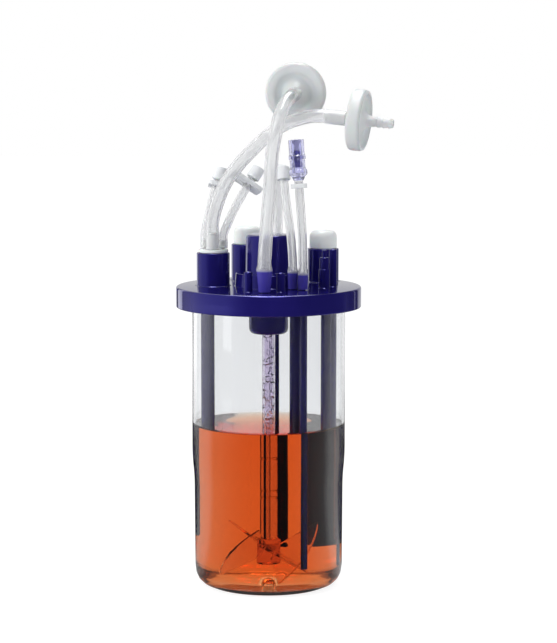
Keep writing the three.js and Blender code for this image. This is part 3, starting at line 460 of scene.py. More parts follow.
# name: x, y, radius, height
ports = {
    "left_port": (-40.8, 3, 12.15, 24.4),
    "rear_left_port": (-16.3, 41.5, 11.65, 27.3),
    "rear_right_port": (40.9, 34, 11.65, 24.7),
}
for name, (x, y, r, h) in ports.items():
    wall = turned(
        name,
        softened(
            [
                (0, DECK_TOP - SUNK, 0),
                (r + 1.2, DECK_TOP - SUNK, 0),
                (r + 1.2, DECK_TOP, 0),
                (r, DECK_TOP, 0.9),
                (r, DECK_TOP + h, 0.7),
                (r - PORT_WALL, DECK_TOP + h, 0.5),
                (r - PORT_WALL, DECK_TOP + 1, 0.5),
                (0, DECK_TOP + 1, 0),
            ]
        ),
        indigo, "base", centre=(x, y), sides=96,
    )
# name: x, y, height, root radius, cone radius
spigots = {
    "exhaust_spigot": (-3, -47, 17.4, 3.0, 4.3),
    "rear_spigot": (7.2, 40, 13.8, 1.9, 2.5),
    "front_spigot": (17.5, -25.5, 13.8, 1.9, 2.5),
    "valve_spigot": (24.8, -30, 12.9, 1.9, 2.5),
}
for name, (x, y, h, root, cone) in spigots.items():
    barb = turned(
        name,
        softened(
            [
                (0, DECK_TOP - SUNK, 0),
                (root + 0.4, DECK_TOP - SUNK, 0),
                (root, DECK_TOP + 0.6, 0.3),
                (cone, DECK_TOP + h - 2.6, 0.3),
                (cone - 0.7, DECK_TOP + h, 0.5),
                (0, DECK_TOP + h, 0),
            ]
        ),
        indigo, "base", centre=(x, y), sides=48,
    )
# name: x, y, radius, height
nipples = {
    "front_left_nipple": (-14.7, -40.5, 3.1, 14.4),
    "front_right_nipple": (8.7, -40.5, 3.2, 13.6),
    "side_nipple": (47.2, -5, 2.9, 27.4),
}
for name, (x, y, r, h) in nipples.items():
    stub = turned(
        name,
        softened(
            [
                (0, DECK_TOP - SUNK, 0),
                (r + 0.8, DECK_TOP - SUNK, 0),
                (r + 0.8, DECK_TOP, 0),
                (r, DECK_TOP, 0.6),
                (r, DECK_TOP + h, 0.6),
                (r - 1.1, DECK_TOP + h, 0.5),
                (r - 1.3, DECK_TOP + h - 4, 0.4),
                (0, DECK_TOP + h - 4, 0),
            ]
        ),
        indigo, "base", centre=(x, y), sides=48,
    )
stepped = turned(
    "stepped_nipple",
    softened(
        [
            (0, DECK_TOP - SUNK, 0),
            (4.9, DECK_TOP - SUNK, 0),
            (4.9, DECK_TOP, 0),
            (4.1, DECK_TOP, 0.6),
            (4.1, DECK_TOP + 13.7, 0.4),
            (3.45, DECK_TOP + 13.7, 0.1),
            (3.45, DECK_TOP + 22.3, 0.7),
            (1.65, DECK_TOP + 22.3, 0.3),
            (1.65, DECK_TOP + 27.7, 0.3),
            (0, DECK_TOP + 27.7, 0),
        ]
    ),
    indigo, "base", centre=(40.7, -13.5), sides=48,
)

# ---- port plug and caps ----
# White silicone: a plug with one barb and two narrow spigots in the left port, and two domed caps
# that press into the rear ports and lift straight out. Unpolished, it looks matt and a little waxy.
soft_white = moulded(
    "moulded_white_silicone", "#E4E8E5", "#DCE0DE", (0.42, 0.52), 0.01,
    {"Subsurface Weight": 0.15, "Subsurface Scale": 0.004, "Specular IOR Level": 0.35},
)
RIM_GAP, PLUG_R, PLUG_DEPTH, PLUG_HEAD_R, PLUG_HEAD = 0.3, 8.9, 14, 11.1, 2.2
x, y, r, h = ports["left_port"]
rim = DECK_TOP + h + RIM_GAP
plug = turned(
    "port_plug_body",
    softened(
        [
            (0, rim - PLUG_DEPTH, 0),
            (PLUG_R, rim - PLUG_DEPTH, 0.8),
            (PLUG_R, rim, 0.1),
            (PLUG_HEAD_R, rim, 0.4),
            (PLUG_HEAD_R, rim + PLUG_HEAD, 0.7),
            (0, rim + PLUG_HEAD, 0),
        ]
    ),
    soft_white, "base", centre=(x, y), sides=96,
)
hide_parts("port_plug")
top = rim + PLUG_HEAD
for name, (bx, by), height, root, cone in [
    ("gas_barb", GAS_ROUTE[0][:2], 12.6, 2.4, 2.8),
    ("left_barb", LEFT_ROUTE[0][:2], 6.6, 1.3, 1.5),
    ("middle_barb", MIDDLE_ROUTE[0][:2], 6.6, 1.3, 1.5),
]:
    barb = turned(
        name,
        softened(
            [
                (0, top - 1, 0), (root, top - 1, 0), (root, top, 0.2),
                (cone, top + height - 2, 0.3), (cone - 0.6, top + height, 0.3), (0, top + height, 0),
            ]
        ),
        soft_white, "base", centre=(bx, by), sides=40,
    )
CAP_R, CAP_H, CAP_INNER_R, CAP_FOOT = 10.2, 13.2, 6.6, 7
for name in ("rear_left", "rear_right"):
    x, y, r, h = ports[name + "_port"]
    low = DECK_TOP + h + RIM_GAP
    cap = turned(
        name + "_cap_dome",
        softened(
            [
                (0, low + CAP_H, 0),
                (0, low + 11.6, 0),
                (5.6, low + 11.6, 1.0),
                (CAP_INNER_R, low + 9, 1.0),
                (CAP_INNER_R, low - CAP_FOOT, 0.3),
                (8.3, low - CAP_FOOT, 0.6),
                (8.6, low, 0.1),
                (CAP_R, low, 0.5),
                (CAP_R, low + CAP_H, 5.4),
            ],
            parts=9,
        ),
        soft_white, "cap_" + name, centre=(x, y), sides=96,
    )
    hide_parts("port_cap_" + name)

# ---- stirrer ----
# A clear, faintly lilac extruded tube turns in a bearing cup under the plate; above it sit the magnet
# carrier and its ring magnet, out of sight in the housing, and on its foot a three-bladed impeller.
# The cup and the tubes beside it have the plate's blue with the duller surface of an extruded tube.
dark_indigo = moulded(
    "extruded_dark_indigo_tube", "#221C78", "#1C166A", (0.2, 0.3), 0.008, {"Specular IOR Level": 0.45}
)
CUP_R, CUP_LOW, CUP_WALL, CUP_HOLE = 14.5, 187.6, 2.2, 5.45
BUSH_SEAT, BUSH_SEAT_OUT, BUSH_SEAT_TOP, SOCKET_TOP = 8.3, 9.7, 194.8, 219.9
cup = turned(
    "bearing_cup_shell",
    softened(
        [
            (CUP_HOLE, CUP_LOW, 0.3),
            (CUP_R, CUP_LOW, 4.6),
            (CUP_R, SOCKET_TOP, 0.4),
            (CUP_R - CUP_WALL, SOCKET_TOP, 0.4),
            (CUP_R - CUP_WALL, CUP_LOW + CUP_WALL, 1.5),
            (BUSH_SEAT_OUT, CUP_LOW + CUP_WALL, 0.2),
            (BUSH_SEAT_OUT, BUSH_SEAT_TOP, 0.3),
            (BUSH_SEAT, BUSH_SEAT_TOP, 0.3),
            (BUSH_SEAT, CUP_LOW + CUP_WALL, 0),
            (CUP_HOLE, CUP_LOW + CUP_WALL, 0),
        ]
    ),
    dark_indigo, "base", sides=96,
)
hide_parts("bearing_cup")

SHAFT_R, SHAFT_BORE, SHAFT_LOW, SHAFT_TOP = 4.85, 2.95, 36.7, 222.1
WET_BORE = 1.0  # under the liquid the bore is drawn narrower, for the thin pale core that it shows there


def lilac_tube(name, index, beads=0.0):
    """Clear lilac plastic with die streaks 5 mm apart, drawn out lengthwise; under the liquid its index is
    taken against the liquid's 1.333. beads is the height in mm of the droplets on it, some 5 mm apart."""
    material, tree, surface = finish(
        name, {"Base Color": linear("#E9E2F2"), "Transmission Weight": 1, "IOR": index}
    )
    place = put(tree, "TexCoord", {}).outputs["Object"]
    drawn = put(tree, "Mapping", {"Vector": place, "Scale": (1, 1, 0.08)}).outputs[0]
    streak = put(tree, "TexNoise", {"Vector": drawn, "Scale": 220, "Detail": 2}).outputs["Fac"]
    gloss = put(tree, "MapRange", {"Value": streak, "To Min": 0.0, "To Max": 0.05})
    bump = put(tree, "Bump", {"Height": streak, "Strength": 1, "Distance": 0.05 * MM})
    tree.links.new(gloss.outputs[0], surface.inputs["Roughness"])
    if beads:
        drops = put(tree, "TexNoise", {"Vector": place, "Scale": 190, "Detail": 1}).outputs["Fac"]
        film = put(tree, "MapRange", {"Value": drops, "From Min": 0.5, "From Max": 0.62}).outputs[0]
        bump = put(
            tree, "Bump",
            {"Height": film, "Normal": bump.outputs[0], "Strength": 1, "Distance": beads * MM},
        )
    tree.links.new(bump.outputs[0], surface.inputs["Normal"])
    return material


lilac_dry = lilac_tube("extruded_lilac_polycarbonate_dry", 1.55)
lilac_wet = lilac_tube("extruded_lilac_polycarbonate_wet", 1.19)
lilac_beads = lilac_tube("extruded_lilac_polycarbonate_with_droplets", 1.55, 0.9)
GROOVE, GROOVES = 0.55, (66.9, 72.4, 96.0)
outer = [(SHAFT_R, SHAFT_LOW)]
for middle in GROOVES:
    outer += [(SHAFT_R, middle - 0.7), (SHAFT_R - GROOVE, middle - 0.4), (SHAFT_R - GROOVE, middle + 0.4)]
    outer += [(SHAFT_R, middle + 0.7)]
# Two rings 0.02 mm apart at the liquid's surface part the wet faces from the dry ones.
outer += [(SHAFT_R, LEVEL - 0.01), (SHAFT_R, LEVEL + 0.01), (SHAFT_R, SHAFT_TOP)]
bore = [(SHAFT_BORE, SHAFT_TOP), (SHAFT_BORE, LEVEL + 0.01), (SHAFT_BORE, LEVEL - 0.01)]
bore += [(WET_BORE, LEVEL - 3), (WET_BORE, SHAFT_LOW)]
outline = np.array(outer + bore)
shaft = turned("stirrer_shaft_tube", outline, lilac_dry, "stirrer", sides=72)
shaft.data.materials.append(lilac_wet)
shaft.data.materials.append(lilac_beads)
middles = np.empty(len(shaft.data.polygons) * 3)
shaft.data.polygons.foreach_get("center", middles)
x, y, z = middles.reshape(-1, 3).T / MM
bored = (np.hypot(x, y) < (SHAFT_R + SHAFT_BORE) / 2) & (z > LEVEL)
layers = np.where(z < LEVEL, 1, np.where(bored, 2, 0)).astype(np.int32)
shaft.data.polygons.foreach_set("material_index", layers)
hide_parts("stirrer_shaft")


def clear_under_liquid(name, tone, index):
    """Clear plastic under the liquid, its index taken against the liquid's 1.333, so that little more than
    its edges shows; a ripple of 8 mm keeps its faces from looking like flat glass."""
    material, tree, surface = finish(
        name, {"Base Color": linear(tone), "Transmission Weight": 1, "IOR": index}
    )
    place = put(tree, "TexCoord", {}).outputs["Object"]
    ripple = put(tree, "TexNoise", {"Vector": place, "Scale": 120, "Detail": 2}).outputs["Fac"]
    gloss = put(tree, "MapRange", {"Value": ripple, "To Min": 0.0, "To Max": 0.05})
    bump = put(tree, "Bump", {"Height": ripple, "Strength": 1, "Distance": 0.2 * MM})
    tree.links.new(gloss.outputs[0], surface.inputs["Roughness"])
    tree.links.new(bump.outputs[0], surface.inputs["Normal"])
    return material


hub_plastic = clear_under_liquid("moulded_clear_polycarbonate_hub", "#DDBAC4", 1.1)
blade_plastic = clear_under_liquid("moulded_clear_polycarbonate_blades", "#F4ECF0", 1.14)
HUB_R, HUB_LOW, HUB_TOP = 6.65, 17.9, 36.6
hub = turned(
    "impeller_hub",
    softened(
        [
            (0, HUB_LOW, 0),
            (HUB_R, HUB_LOW, 1.6),
            (HUB_R, HUB_TOP, 0.5),
            (0, HUB_TOP, 0),
        ]
    ),
    hub_plastic, "stirrer", sides=72,
)
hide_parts("impeller")


BLADE_R, BLADE_MIDDLE, BLADE_HALF_T, PITCH = 27.1, 27.25, 0.9, np.pi / 4
ROOT_REACH, ROOT_WIDTH, SHOULDER_GROWS, SHOULDER_OUT, SHOULDER_WIDTH = 4.5, 7.5, 20.5, 13.7, 28


def fan_blade(direction, along=28, across=36):
    """A fan along y, in the direction given. Its half width grows in a straight line with the reach, from
    ROOT_WIDTH inside the hub to SHOULDER_WIDTH at the shoulder, or ends on the circle of the tip where that
    is nearer. The section is a flat strip with rounded edges, made of powers of cosine and sine, and
    pitched by PITCH about y."""
    s = np.linspace(0, 1, along)[:, None]
    reach = ROOT_REACH + (BLADE_R - ROOT_REACH) * s
    width = np.minimum(ROOT_WIDTH + (reach - ROOT_REACH) * SHOULDER_GROWS / SHOULDER_OUT, SHOULDER_WIDTH)
    width = np.minimum(width, np.sqrt(np.clip(BLADE_R**2 - reach**2, 0.01, None)) * np.sqrt(2))
    turn = np.linspace(0, 2 * np.pi, across, endpoint=False)[None, :]
    x = width * np.sign(np.cos(turn)) * np.abs(np.cos(turn)) ** 0.75
    z = BLADE_HALF_T * np.sign(np.sin(turn)) * np.abs(np.sin(turn)) ** 0.35
    y = reach + 0 * x
    px = x * np.cos(PITCH) + z * np.sin(PITCH)
    pz = -x * np.sin(PITCH) + z * np.cos(PITCH) + BLADE_MIDDLE
    spin = direction - np.pi / 2
    grid = np.stack([px * np.cos(spin) - y * np.sin(spin), px * np.sin(spin) + y * np.cos(spin), pz], axis=-1)
    middle = grid.mean(axis=1, keepdims=True)
    return np.vstack([np.repeat(middle[:1], across, axis=1), grid, np.repeat(middle[-1:], across, axis=1)])


for number in range(3):
    fan = fan_blade(np.pi / 2 + number * 2 * np.pi / 3)
    blade = skin(f"impeller_blade_{number + 1}", fan, blade_plastic, "stirrer")

# ---- dip tubes ----
# Three closed sleeves for sensors and three open tubes, extruded in dark indigo and pressed into
# sockets in the underside of the plate.
SLEEVE_WALL, TUBE_WALL = 1.3, 0.9
# name: radius, height of the lower end, whether that end is closed
tubes = {
    "sensor_sleeve_left": (5.15, 36, True),
    "sensor_sleeve_rear": (5.8, 24, True),
    "sensor_sleeve_right": (5.85, 34, True),
    "sampling_tube": (2.4, 23, False),
    "sparger_tube": (2.6, 20, False),
    "harvest_tube": (2.3, 16, False),
}
for name, (r, low, shut) in tubes.items():
    x, y, _ = np.mean(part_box(name), axis=0) / MM
    bore = r - (SLEEVE_WALL if shut else TUBE_WALL)
    if shut:
        nose = 0.45 * r
        outline = [(0, low, 0), (r, low, nose), (r, SOCKET_TOP, 0.2), (bore, SOCKET_TOP, 0.2)]
        outline += [(bore, low + nose, 1.5), (0, low + nose, 0)]
    else:
        outline = [(bore, low, 0.2), (r, low, 0.25), (r, SOCKET_TOP, 0.2), (bore, SOCKET_TOP, 0.2)]
    tube = turned(name + "_tube", softened(outline), dark_indigo, "base", centre=(x, y), sides=64)
    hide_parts(name)

# ---- filters ----
# Two disc filters, each of two welded shells of milky polypropylene round a white membrane: a broad
# rim, a dished face with a cone in its middle, and a ridged barb on both sides. Light goes a little way
# into the plastic, so thin edges look greyer than the rim; the membrane is matt.
milky = moulded(
    "moulded_milky_polypropylene", "#F3F5F4", "#EAEDED", (0.34, 0.46), 0.01,
    {"Transmission Weight": 0.38, "IOR": 1.45, "Subsurface Weight": 0.2, "Subsurface Scale": 0.003},
)
paper = moulded("pleated_white_membrane", "#F4F5F3", "#ECEEEE", (0.7, 0.8), 0.02)
FACE, DISH, FILTER_R, CHAMBER, BARB_BORE = 5.1, 2.0, 22.3, 19.3, 1.7
FILTER_REACH = 24.0  # from the filter's middle to the tip of its inlet


def filter_half(rim, tip):
    """The outline of one shell: barb with three ridges, hub cone, dished face and rounded rim, rim mm wide;
    tip is the barb's height over the filter's middle plane."""
    recess = FILTER_R - rim
    return softened(
        [
            (BARB_BORE, tip, 0.2),
            (2.8, tip, 0.3),
            (3.9, tip - 3.2, 0.3),
            (3.2, tip - 3.6, 0.3),
            (4.0, tip - 7.4, 0.3),
            (3.3, tip - 7.8, 0.3),
            (4.0, tip - 11.6, 0.3),
            (3.4, tip - 12.0, 0.5),
            (4.4, FACE + 2.0, 1.5),
            (9.4, FACE - DISH, 2.4),
            (recess - 1.6, FACE - DISH, 2.4),
            (recess + 1.2, FACE, 2.2),
            (FILTER_R, FACE, 2.8),
            (FILTER_R, 0, 0),
            (CHAMBER, 0, 0),
            (CHAMBER, 0.6, 0),
            (5, 1.0, 0.5),
            (BARB_BORE, 2.6, 0.3),
        ]
    )


halves = {"inlet_half": filter_half(7.6, FACE + 18.9), "outlet_half": filter_half(4, FACE + 20.9)}
for name in ("exhaust", "gas"):
    point, way = ends[name + "_hose"]
    centre = point + FILTER_REACH * way
    for part, aim in (("inlet_half", -way), ("outlet_half", way)):
        shell_name = f"{name}_filter_{part}_shell"
        shell = turned(shell_name, halves[part], milky, "base", place=(centre, aim), sides=112)
        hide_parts(f"{name}_filter_{part}")
    bpy.data.objects[name + "_filter_membrane"].data.materials[0] = paper
    hose, path, length, radius, far_end = hoses[name + "_hose"]

# ---- clamps, connectors and caps of the narrow hoses ----
# Flat slide clamps stamped from white acetal, and on four hose ends a milky luer connector under a
# white screw cap with shallow grip ribs. Acetal is a plain white with a waxy sheen.
acetal = moulded("moulded_white_acetal", "#E4E6E6", "#DBDDDE", (0.36, 0.46), 0.008)
for name in ("left_line_clamp", "middle_line_clamp", "valve_line_clamp"):
    bpy.data.objects[name].data.materials[0] = acetal
connector = softened(
    [
        (0.9, 0, 0.1), (3.4, 0, 0.3), (3.4, 2.5, 0.2), (2.6, 2.5, 0.2), (2.4, 5.6, 0.3),
        (1.7, 5.6, 0.2), (0.9, 2.5, 0.1),
    ]
)
LUER_CAP_R, LUER_BORE, LUER_CAP_LOW, LUER_CAP_TOP, LUER_ROOF = 5, 3.7, 0.6, 10, 6.4
cap_outline = softened(
    [
        (0, LUER_CAP_TOP, 0), (LUER_CAP_R, LUER_CAP_TOP, 0.8), (LUER_CAP_R, LUER_CAP_LOW, 0.4),
        (LUER_BORE, LUER_CAP_LOW, 0.3), (LUER_BORE, LUER_ROOF, 0.3), (0, LUER_ROOF, 0),
    ]
)
RIBS, RIB_DEPTH, RIBS_LOW, RIBS_TOP, RIB_FADE = 18, 0.2, 1, 9, 0.6


def grip(angle, z):
    """Shallow grooves round the cap's wall, RIB_DEPTH times the square of the cosine of RIBS times the
    angle, cut off at -0.4 and faded in a straight line at both ends."""
    rib = -RIB_DEPTH * np.clip(np.cos(RIBS * angle), -0.4, 1) ** 2
    return rib * np.clip((z - RIBS_LOW) / RIB_FADE, 0, 1) * np.clip((RIBS_TOP - z) / RIB_FADE, 0, 1)


for line in ("left", "middle", "rear", "front"):
    point, way = ends[line + "_line_hose"]
    socket = turned(line + "_luer", connector, milky, "base", place=(point, way), sides=64)
    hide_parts(line + "_line_connector")
    cap = turned(
        line + "_luer_cap_shell", cap_outline, acetal, line + "_luer_cap",
        place=(point, way), sides=108, flute=grip,
    )
    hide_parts(line + "_line_cap")
    hose, path, length, radius, far_end = hoses[line + "_line_hose"]

# ---- sampling valve ----
# A swabable valve on the last hose: two ribbed shells of clear lavender plastic round a violet
# silicone stem with a pale head, which a syringe pushes down. The plastic bends light in clouds of 8 mm,
# so the stem shows through it broken up.
lavender, tree, surface = finish(
    "moulded_clear_lavender_plastic",
    {"Transmission Weight": 0.95, "IOR": 1.5},
)
place = put(tree, "TexCoord", {}).outputs["Object"]
cloud = put(tree, "TexNoise", {"Vector": place, "Scale": 130, "Detail": 3}).outputs["Fac"]
tint = put(tree, "Mix", {"data_type": "RGBA", 0: cloud, 6: linear("#E6E6FA"), 7: linear("#D2D2F4")})
gloss = put(tree, "MapRange", {"Value": cloud, "To Min": 0.04, "To Max": 0.14})
bump = put(tree, "Bump", {"Height": cloud, "Strength": 1, "Distance": 0.2 * MM})
tree.links.new(tint.outputs[2], surface.inputs["Base Color"])
tree.links.new(gloss.outputs[0], surface.inputs["Roughness"])
tree.links.new(bump.outputs[0], surface.inputs["Normal"])
violet = moulded("moulded_violet_silicone", "#4A43B4", "#3F38A8", (0.3, 0.4), 0.02)
pale = moulded(
    "moulded_pale_lilac_silicone", "#F0EEF8", "#E2DEF1", (0.3, 0.4), 0.02, {"Transmission Weight": 0.5}
)
point, way = ends["valve_line_hose"]
valve_base = turned(
    "valve_base_shell",
    softened(
        [
            (1, 0, 0.1), (3.5, 0, 0.3), (4.3, 1.6, 0.5), (5.0, 3.4, 0.5), (6.55, 4.6, 0.7),
            (6.55, 7.0, 0.9), (5.4, 9.4, 1.5), (5.6, 15.2, 0.2), (4.3, 15.2, 0.1), (4.3, 17.5, 0.2),
            (3.4, 17.5, 0.2), (3.4, 5.5, 0.4), (1, 5.5, 0.2),
        ]
    ),
    lavender, "base", place=(point, way), sides=96,
    flute=lambda a, z: 0.22 * np.cos(12 * a) * ((z > 3) & (z < 8)),
)
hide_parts("valve_base")
valve_housing = turned(
    "valve_housing_shell",
    softened(
        [
            (4.6, 15.5, 0.2), (6.2, 15.5, 0.4), (6.2, 17.9, 0.4), (5.6, 18.7, 0.3), (5.6, 29.6, 0.5),
            (3.4, 29.6, 0.4), (3.4, 17.8, 0.2), (4.6, 17.8, 0.2),
        ]
    ),
    lavender, "base", place=(point, way), sides=96,
    flute=lambda a, z: 0.12 * np.cos(10 * a) * ((z > 19) & (z < 27)),
)
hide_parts("valve_housing")
stem = turned(
    "valve_stem_body",
    softened(
        [
            (0, 9.3, 0), (3, 9.3, 0.4), (3, 12.3, 0.4), (2.6, 13.8, 0.5), (2.6, 20.6, 0.5),
            (1.9, 22.4, 0.5), (1.9, 26, 0.5), (3, 27.6, 0.5), (3, 29.3, 0.5), (0, 29.6, 0),
        ]
    ),
    violet, "stem", place=(point, way), sides=64,
)
stem.data.materials.append(pale)
PALE_FROM = 21.5
middles = np.empty(len(stem.data.polygons) * 3)
stem.data.polygons.foreach_get("center", middles)
rise = (middles.reshape(-1, 3) / MM - point) @ way
stem.data.polygons.foreach_set("material_index", (rise > PALE_FROM).astype(np.int32))
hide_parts("valve_stem")
hose, path, length, radius, far_end = hoses["valve_line_hose"]

# ---- hidden drive parts ----
# The parts inside the housing keep their plain turned shapes: a dull black rubber seal, an acetal bush
# and carrier, a nickel-plated ring magnet and a ground steel pin, both bright with a grain of 0.6 mm.
rubber = moulded("moulded_black_nitrile_rubber", "#101012", "#18181B", (0.55, 0.7), 0.02)
steel = moulded(
    "ground_nickel_plated_steel", "#A9ABAF", "#97999E", (0.18, 0.32), 0.004, {"Metallic": 1.0}, fine=1600
)
for node, material in {
    "seal_ring": rubber,
    "bearing_bush": acetal,
    "magnet_carrier": acetal,
    "drive_magnet": steel,
    "pivot_pin": steel,
}.items():
    bpy.data.objects[node].data.materials[0] = material

# ---- stage ----
# A white floor that keeps a soft shadow, a white surround and three large soft lamps. What gloss and
# clear plastic mirror is a studio of soft boxes, drawn on the surround and on the floor.
HALF_FLOOR = 6
floor_mesh = bpy.data.meshes.new("floor")
corners = [(HALF_FLOOR * x, HALF_FLOOR * y, 0) for x, y in ((-1, -1), (1, -1), (1, 1), (-1, 1))]
floor_mesh.from_pydata(corners, [], [(0, 1, 2, 3)])
floor = bpy.data.objects.new("floor", floor_mesh)
scene.collection.objects.link(floor)


def profile(tree, place, stops):
    """A value read off a curve of straight lines between (place, value) stops."""
    ramp = put(tree, "ValToRGB", {"Fac": place})
    steps = ramp.color_ramp.elements
    steps[0].position, steps[0].color = stops[0][0], (*[stops[0][1]] * 3, 1)
    steps[1].position, steps[1].color = stops[-1][0], (*[stops[-1][1]] * 3, 1)
    for spot, level in stops[1:-1]:
        steps.new(spot).color = (*[level] * 3, 1)
    return ramp.outputs[0]


def blend(tree, share, first, second):
    """first where share is 0 and second where it is 1."""
    return put(tree, "Mix", {"data_type": "FLOAT", 0: share, 2: first, 3: second}).outputs[0]


SOFT_BOXES, ROOF_BOX = 1.5, 12  # how many times white the soft boxes and the one overhead are


def surround(tree, towards, beside, on_floor):
    """What a direction shows. To the camera itself: white. Through clear plastic, unreflected: white ahead and
    steeply upwards, falling to the level beside past 45 degrees. Once reflected: a dark front, a broad soft
    box on the left, a strip behind it, a narrow strip on the right, a white back and a box overhead;
    reflections inside clear plastic see calmer sides. The floor near the object has sides of its own."""
    way = put(tree, "VectorMath", {"operation": "NORMALIZE", 0: towards}).outputs[0]
    part = put(tree, "SeparateXYZ", {"Vector": way})
    right = put(tree, "Math", {"operation": "GREATER_THAN", 0: part.outputs["X"], 1: 0.0}).outputs[0]
    turn = put(tree, "MapRange", {"Value": part.outputs["Y"], "From Min": -1, "From Max": 1}).outputs[0]
    left_side = profile(tree, turn, [
        (0, 0.01), (0.04, 0.02), (0.1, 0.15), (0.2, 0.42), (0.62, 0.45), (0.8, 0.22), (0.84, 0.15),
        (0.85, 0.85), (0.93, 0.85), (0.94, 0.03), (0.96, 0.03), (0.972, 0.45), (1, 0.45),
    ])
    right_side = profile(tree, turn, [
        (0, 0.02), (0.6, 0.03), (0.67, 0.08), (0.74, 0.03), (0.825, 0.03), (0.835, 0.3), (0.845, 0.3),
        (0.855, 0.03), (0.895, 0.03), (0.92, 0.4), (1, 0.45),
    ])
    sides = blend(tree, right, left_side, right_side)
    calm_stops = [(0, 0.02), (0.7, 0.1), (0.8, 0.35), (0.88, 0.6), (0.93, 0.66), (1, 0.66)]
    if on_floor:
        calm_stops = [(0, 0.02), (0.5, 0.05), (0.6, 0.6), (1, 0.66)]
        near_left = profile(tree, turn, [
            (0, 0), (0.09, 0.02), (0.33, 0.12), (0.8, 0.22), (0.84, 0.2), (0.9, 0), (1, 0),
        ])
        near_right = profile(tree, turn, [
            (0, 0), (0.1, 0.02), (0.3, 0.22), (0.73, 0.4), (0.79, 0.3), (0.84, 0), (1, 0),
        ])
        far = put(tree, "VectorMath", {"operation": "LENGTH", 0: towards}).outputs["Value"]
        close = put(tree, "MapRange", {"Value": far, "From Min": 1.1, "From Max": 0.6}).outputs[0]
        sides = blend(tree, close, sides, blend(tree, right, near_left, near_right))
    seen = put(tree, "LightPath", {})
    inside = put(tree, "Math", {"operation": "GREATER_THAN", 0: seen.outputs["Transmission Depth"], 1: 0.5})
    # Ahead is the greater of y and 1.6 z - 0.6, so only steep upward rays count as looking ahead.
    up = part.outputs["Z"]
    rising = put(tree, "Math", {"operation": "MULTIPLY_ADD", 0: up, 1: 1.6, 2: -0.6}).outputs[0]
    ahead = put(tree, "Math", {"operation": "MAXIMUM", 0: part.outputs["Y"], 1: rising}).outputs[0]
    onward = put(tree, "MapRange", {"Value": ahead, "From Min": -1, "From Max": 1}).outputs[0]
    sides = blend(tree, inside.outputs[0], sides, profile(tree, onward, calm_stops))
    over = put(tree, "MapRange", {"Value": up, "From Min": 0.7, "From Max": 0.8, "To Max": ROOF_BOX})
    wide = put(tree, "Math", {"operation": "ABSOLUTE", 0: part.outputs["X"]}).outputs[0]
    over_it = put(tree, "MapRange", {"Value": wide, "From Min": 0.3, "From Max": 0.15}).outputs[0]
    roof = put(tree, "Math", {"operation": "MULTIPLY", 0: over.outputs[0], 1: over_it}).outputs[0]
    reflected = put(tree, "Math", {"operation": "MULTIPLY_ADD", 0: sides, 1: SOFT_BOXES, 2: roof})
    behind = put(tree, "MapRange", {"Value": ahead, "From Min": 0.35, "From Max": 0.75, "To Min": beside})
    bounces = seen.outputs["Glossy Depth"]
    straight = put(tree, "Math", {"operation": "LESS_THAN", 0: bounces, 1: 0.5}).outputs[0]
    mirrored = blend(tree, straight, reflected.outputs[0], behind.outputs[0])
    return blend(tree, seen.outputs["Is Camera Ray"], mirrored, 1.0)


def sharp_rays(tree):
    """1 for the rays that see the surround as it is drawn: from the camera, mirrored or through plastic."""
    seen = put(tree, "LightPath", {})
    first, second, third = (seen.outputs[f"Is {kind} Ray"] for kind in ("Camera", "Glossy", "Transmission"))
    sharp = put(tree, "Math", {"operation": "MAXIMUM", 0: first, 1: second})
    return put(tree, "Math", {"operation": "MAXIMUM", 0: sharp.outputs[0], 1: third}).outputs[0]


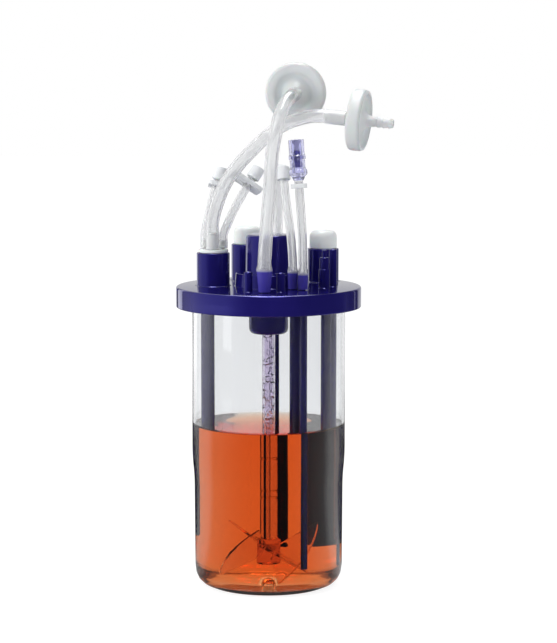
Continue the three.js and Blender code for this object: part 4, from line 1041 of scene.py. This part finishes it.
# To sharp rays the floor glows and is thinly painted, which adds up to white in the lamps' light and
# leaves a soft shadow elsewhere; to the rest it is plain white paint.
THIN_PAINT, GLOW = 0.26, 0.88
white_floor = bpy.data.materials.new("white_painted_floor")
white_floor.use_nodes = True
tree = white_floor.node_tree
tree.nodes.remove(tree.nodes["Principled BSDF"])
sharp = sharp_rays(tree)
shown = surround(tree, put(tree, "TexCoord", {}).outputs["Object"], 1.0, True)
paint = put(tree, "BsdfDiffuse", {"Color": (0.9, 0.9, 0.9, 1)})
dim = put(tree, "Math", {"operation": "MULTIPLY", 0: shown, 1: THIN_PAINT})
thin = put(tree, "BsdfDiffuse", {"Color": dim.outputs[0]})
glow = put(tree, "Emission", {"Color": shown, "Strength": GLOW})
bright = put(tree, "AddShader", {0: thin.outputs[0], 1: glow.outputs[0]})
both = put(tree, "MixShader", {0: sharp, 1: paint.outputs[0], 2: bright.outputs[0]})
tree.links.new(both.outputs[0], tree.nodes["Material Output"].inputs["Surface"])
floor_mesh.materials.append(white_floor)

world = bpy.data.worlds.new("studio")
scene.world = world
world.use_nodes = True
tree = world.node_tree
sharp = sharp_rays(tree)
room = tree.nodes["Background"]
room.inputs["Color"].default_value = (0.95, 0.96, 1, 1)
room.inputs["Strength"].default_value = 0.62
shown = surround(tree, put(tree, "TexCoord", {}).outputs["Generated"], 0.25, False)
white_room = put(tree, "Background", {"Color": shown, "Strength": 1.0})
all_of_it = put(tree, "MixShader", {0: sharp, 1: room.outputs[0], 2: white_room.outputs[0]})
tree.links.new(all_of_it.outputs[0], tree.nodes["World Output"].inputs["Surface"])

AIM_HEIGHT = 0.18
# name: place, width and height in metres, watts; each is turned towards the middle of the object
lamps = {
    "window_lamp": ((-1.5, -0.8, 0.75), 1.1, 1.3, 20),
    "side_lamp": ((1.6, -0.7, 0.6), 0.8, 1.2, 5),
    "roof_lamp": ((0.0, 0.3, 1.7), 1.6, 1.2, 10),
}
for name, (spot, wide, tall, power) in lamps.items():
    lamp = bpy.data.lights.new(name, "AREA")
    lamp.shape = "RECTANGLE"
    lamp.size, lamp.size_y, lamp.energy = wide, tall, power
    holder = bpy.data.objects.new(name, lamp)
    holder.location = spot
    aim = np.array(spot) - np.array([0, 0, AIM_HEIGHT])
    tilt, heading = math.acos(aim[2] / np.linalg.norm(aim)), math.atan2(aim[1], aim[0])
    holder.rotation_euler = (tilt, 0, heading + math.pi / 2)
    holder.visible_glossy = False
    scene.collection.objects.link(holder)
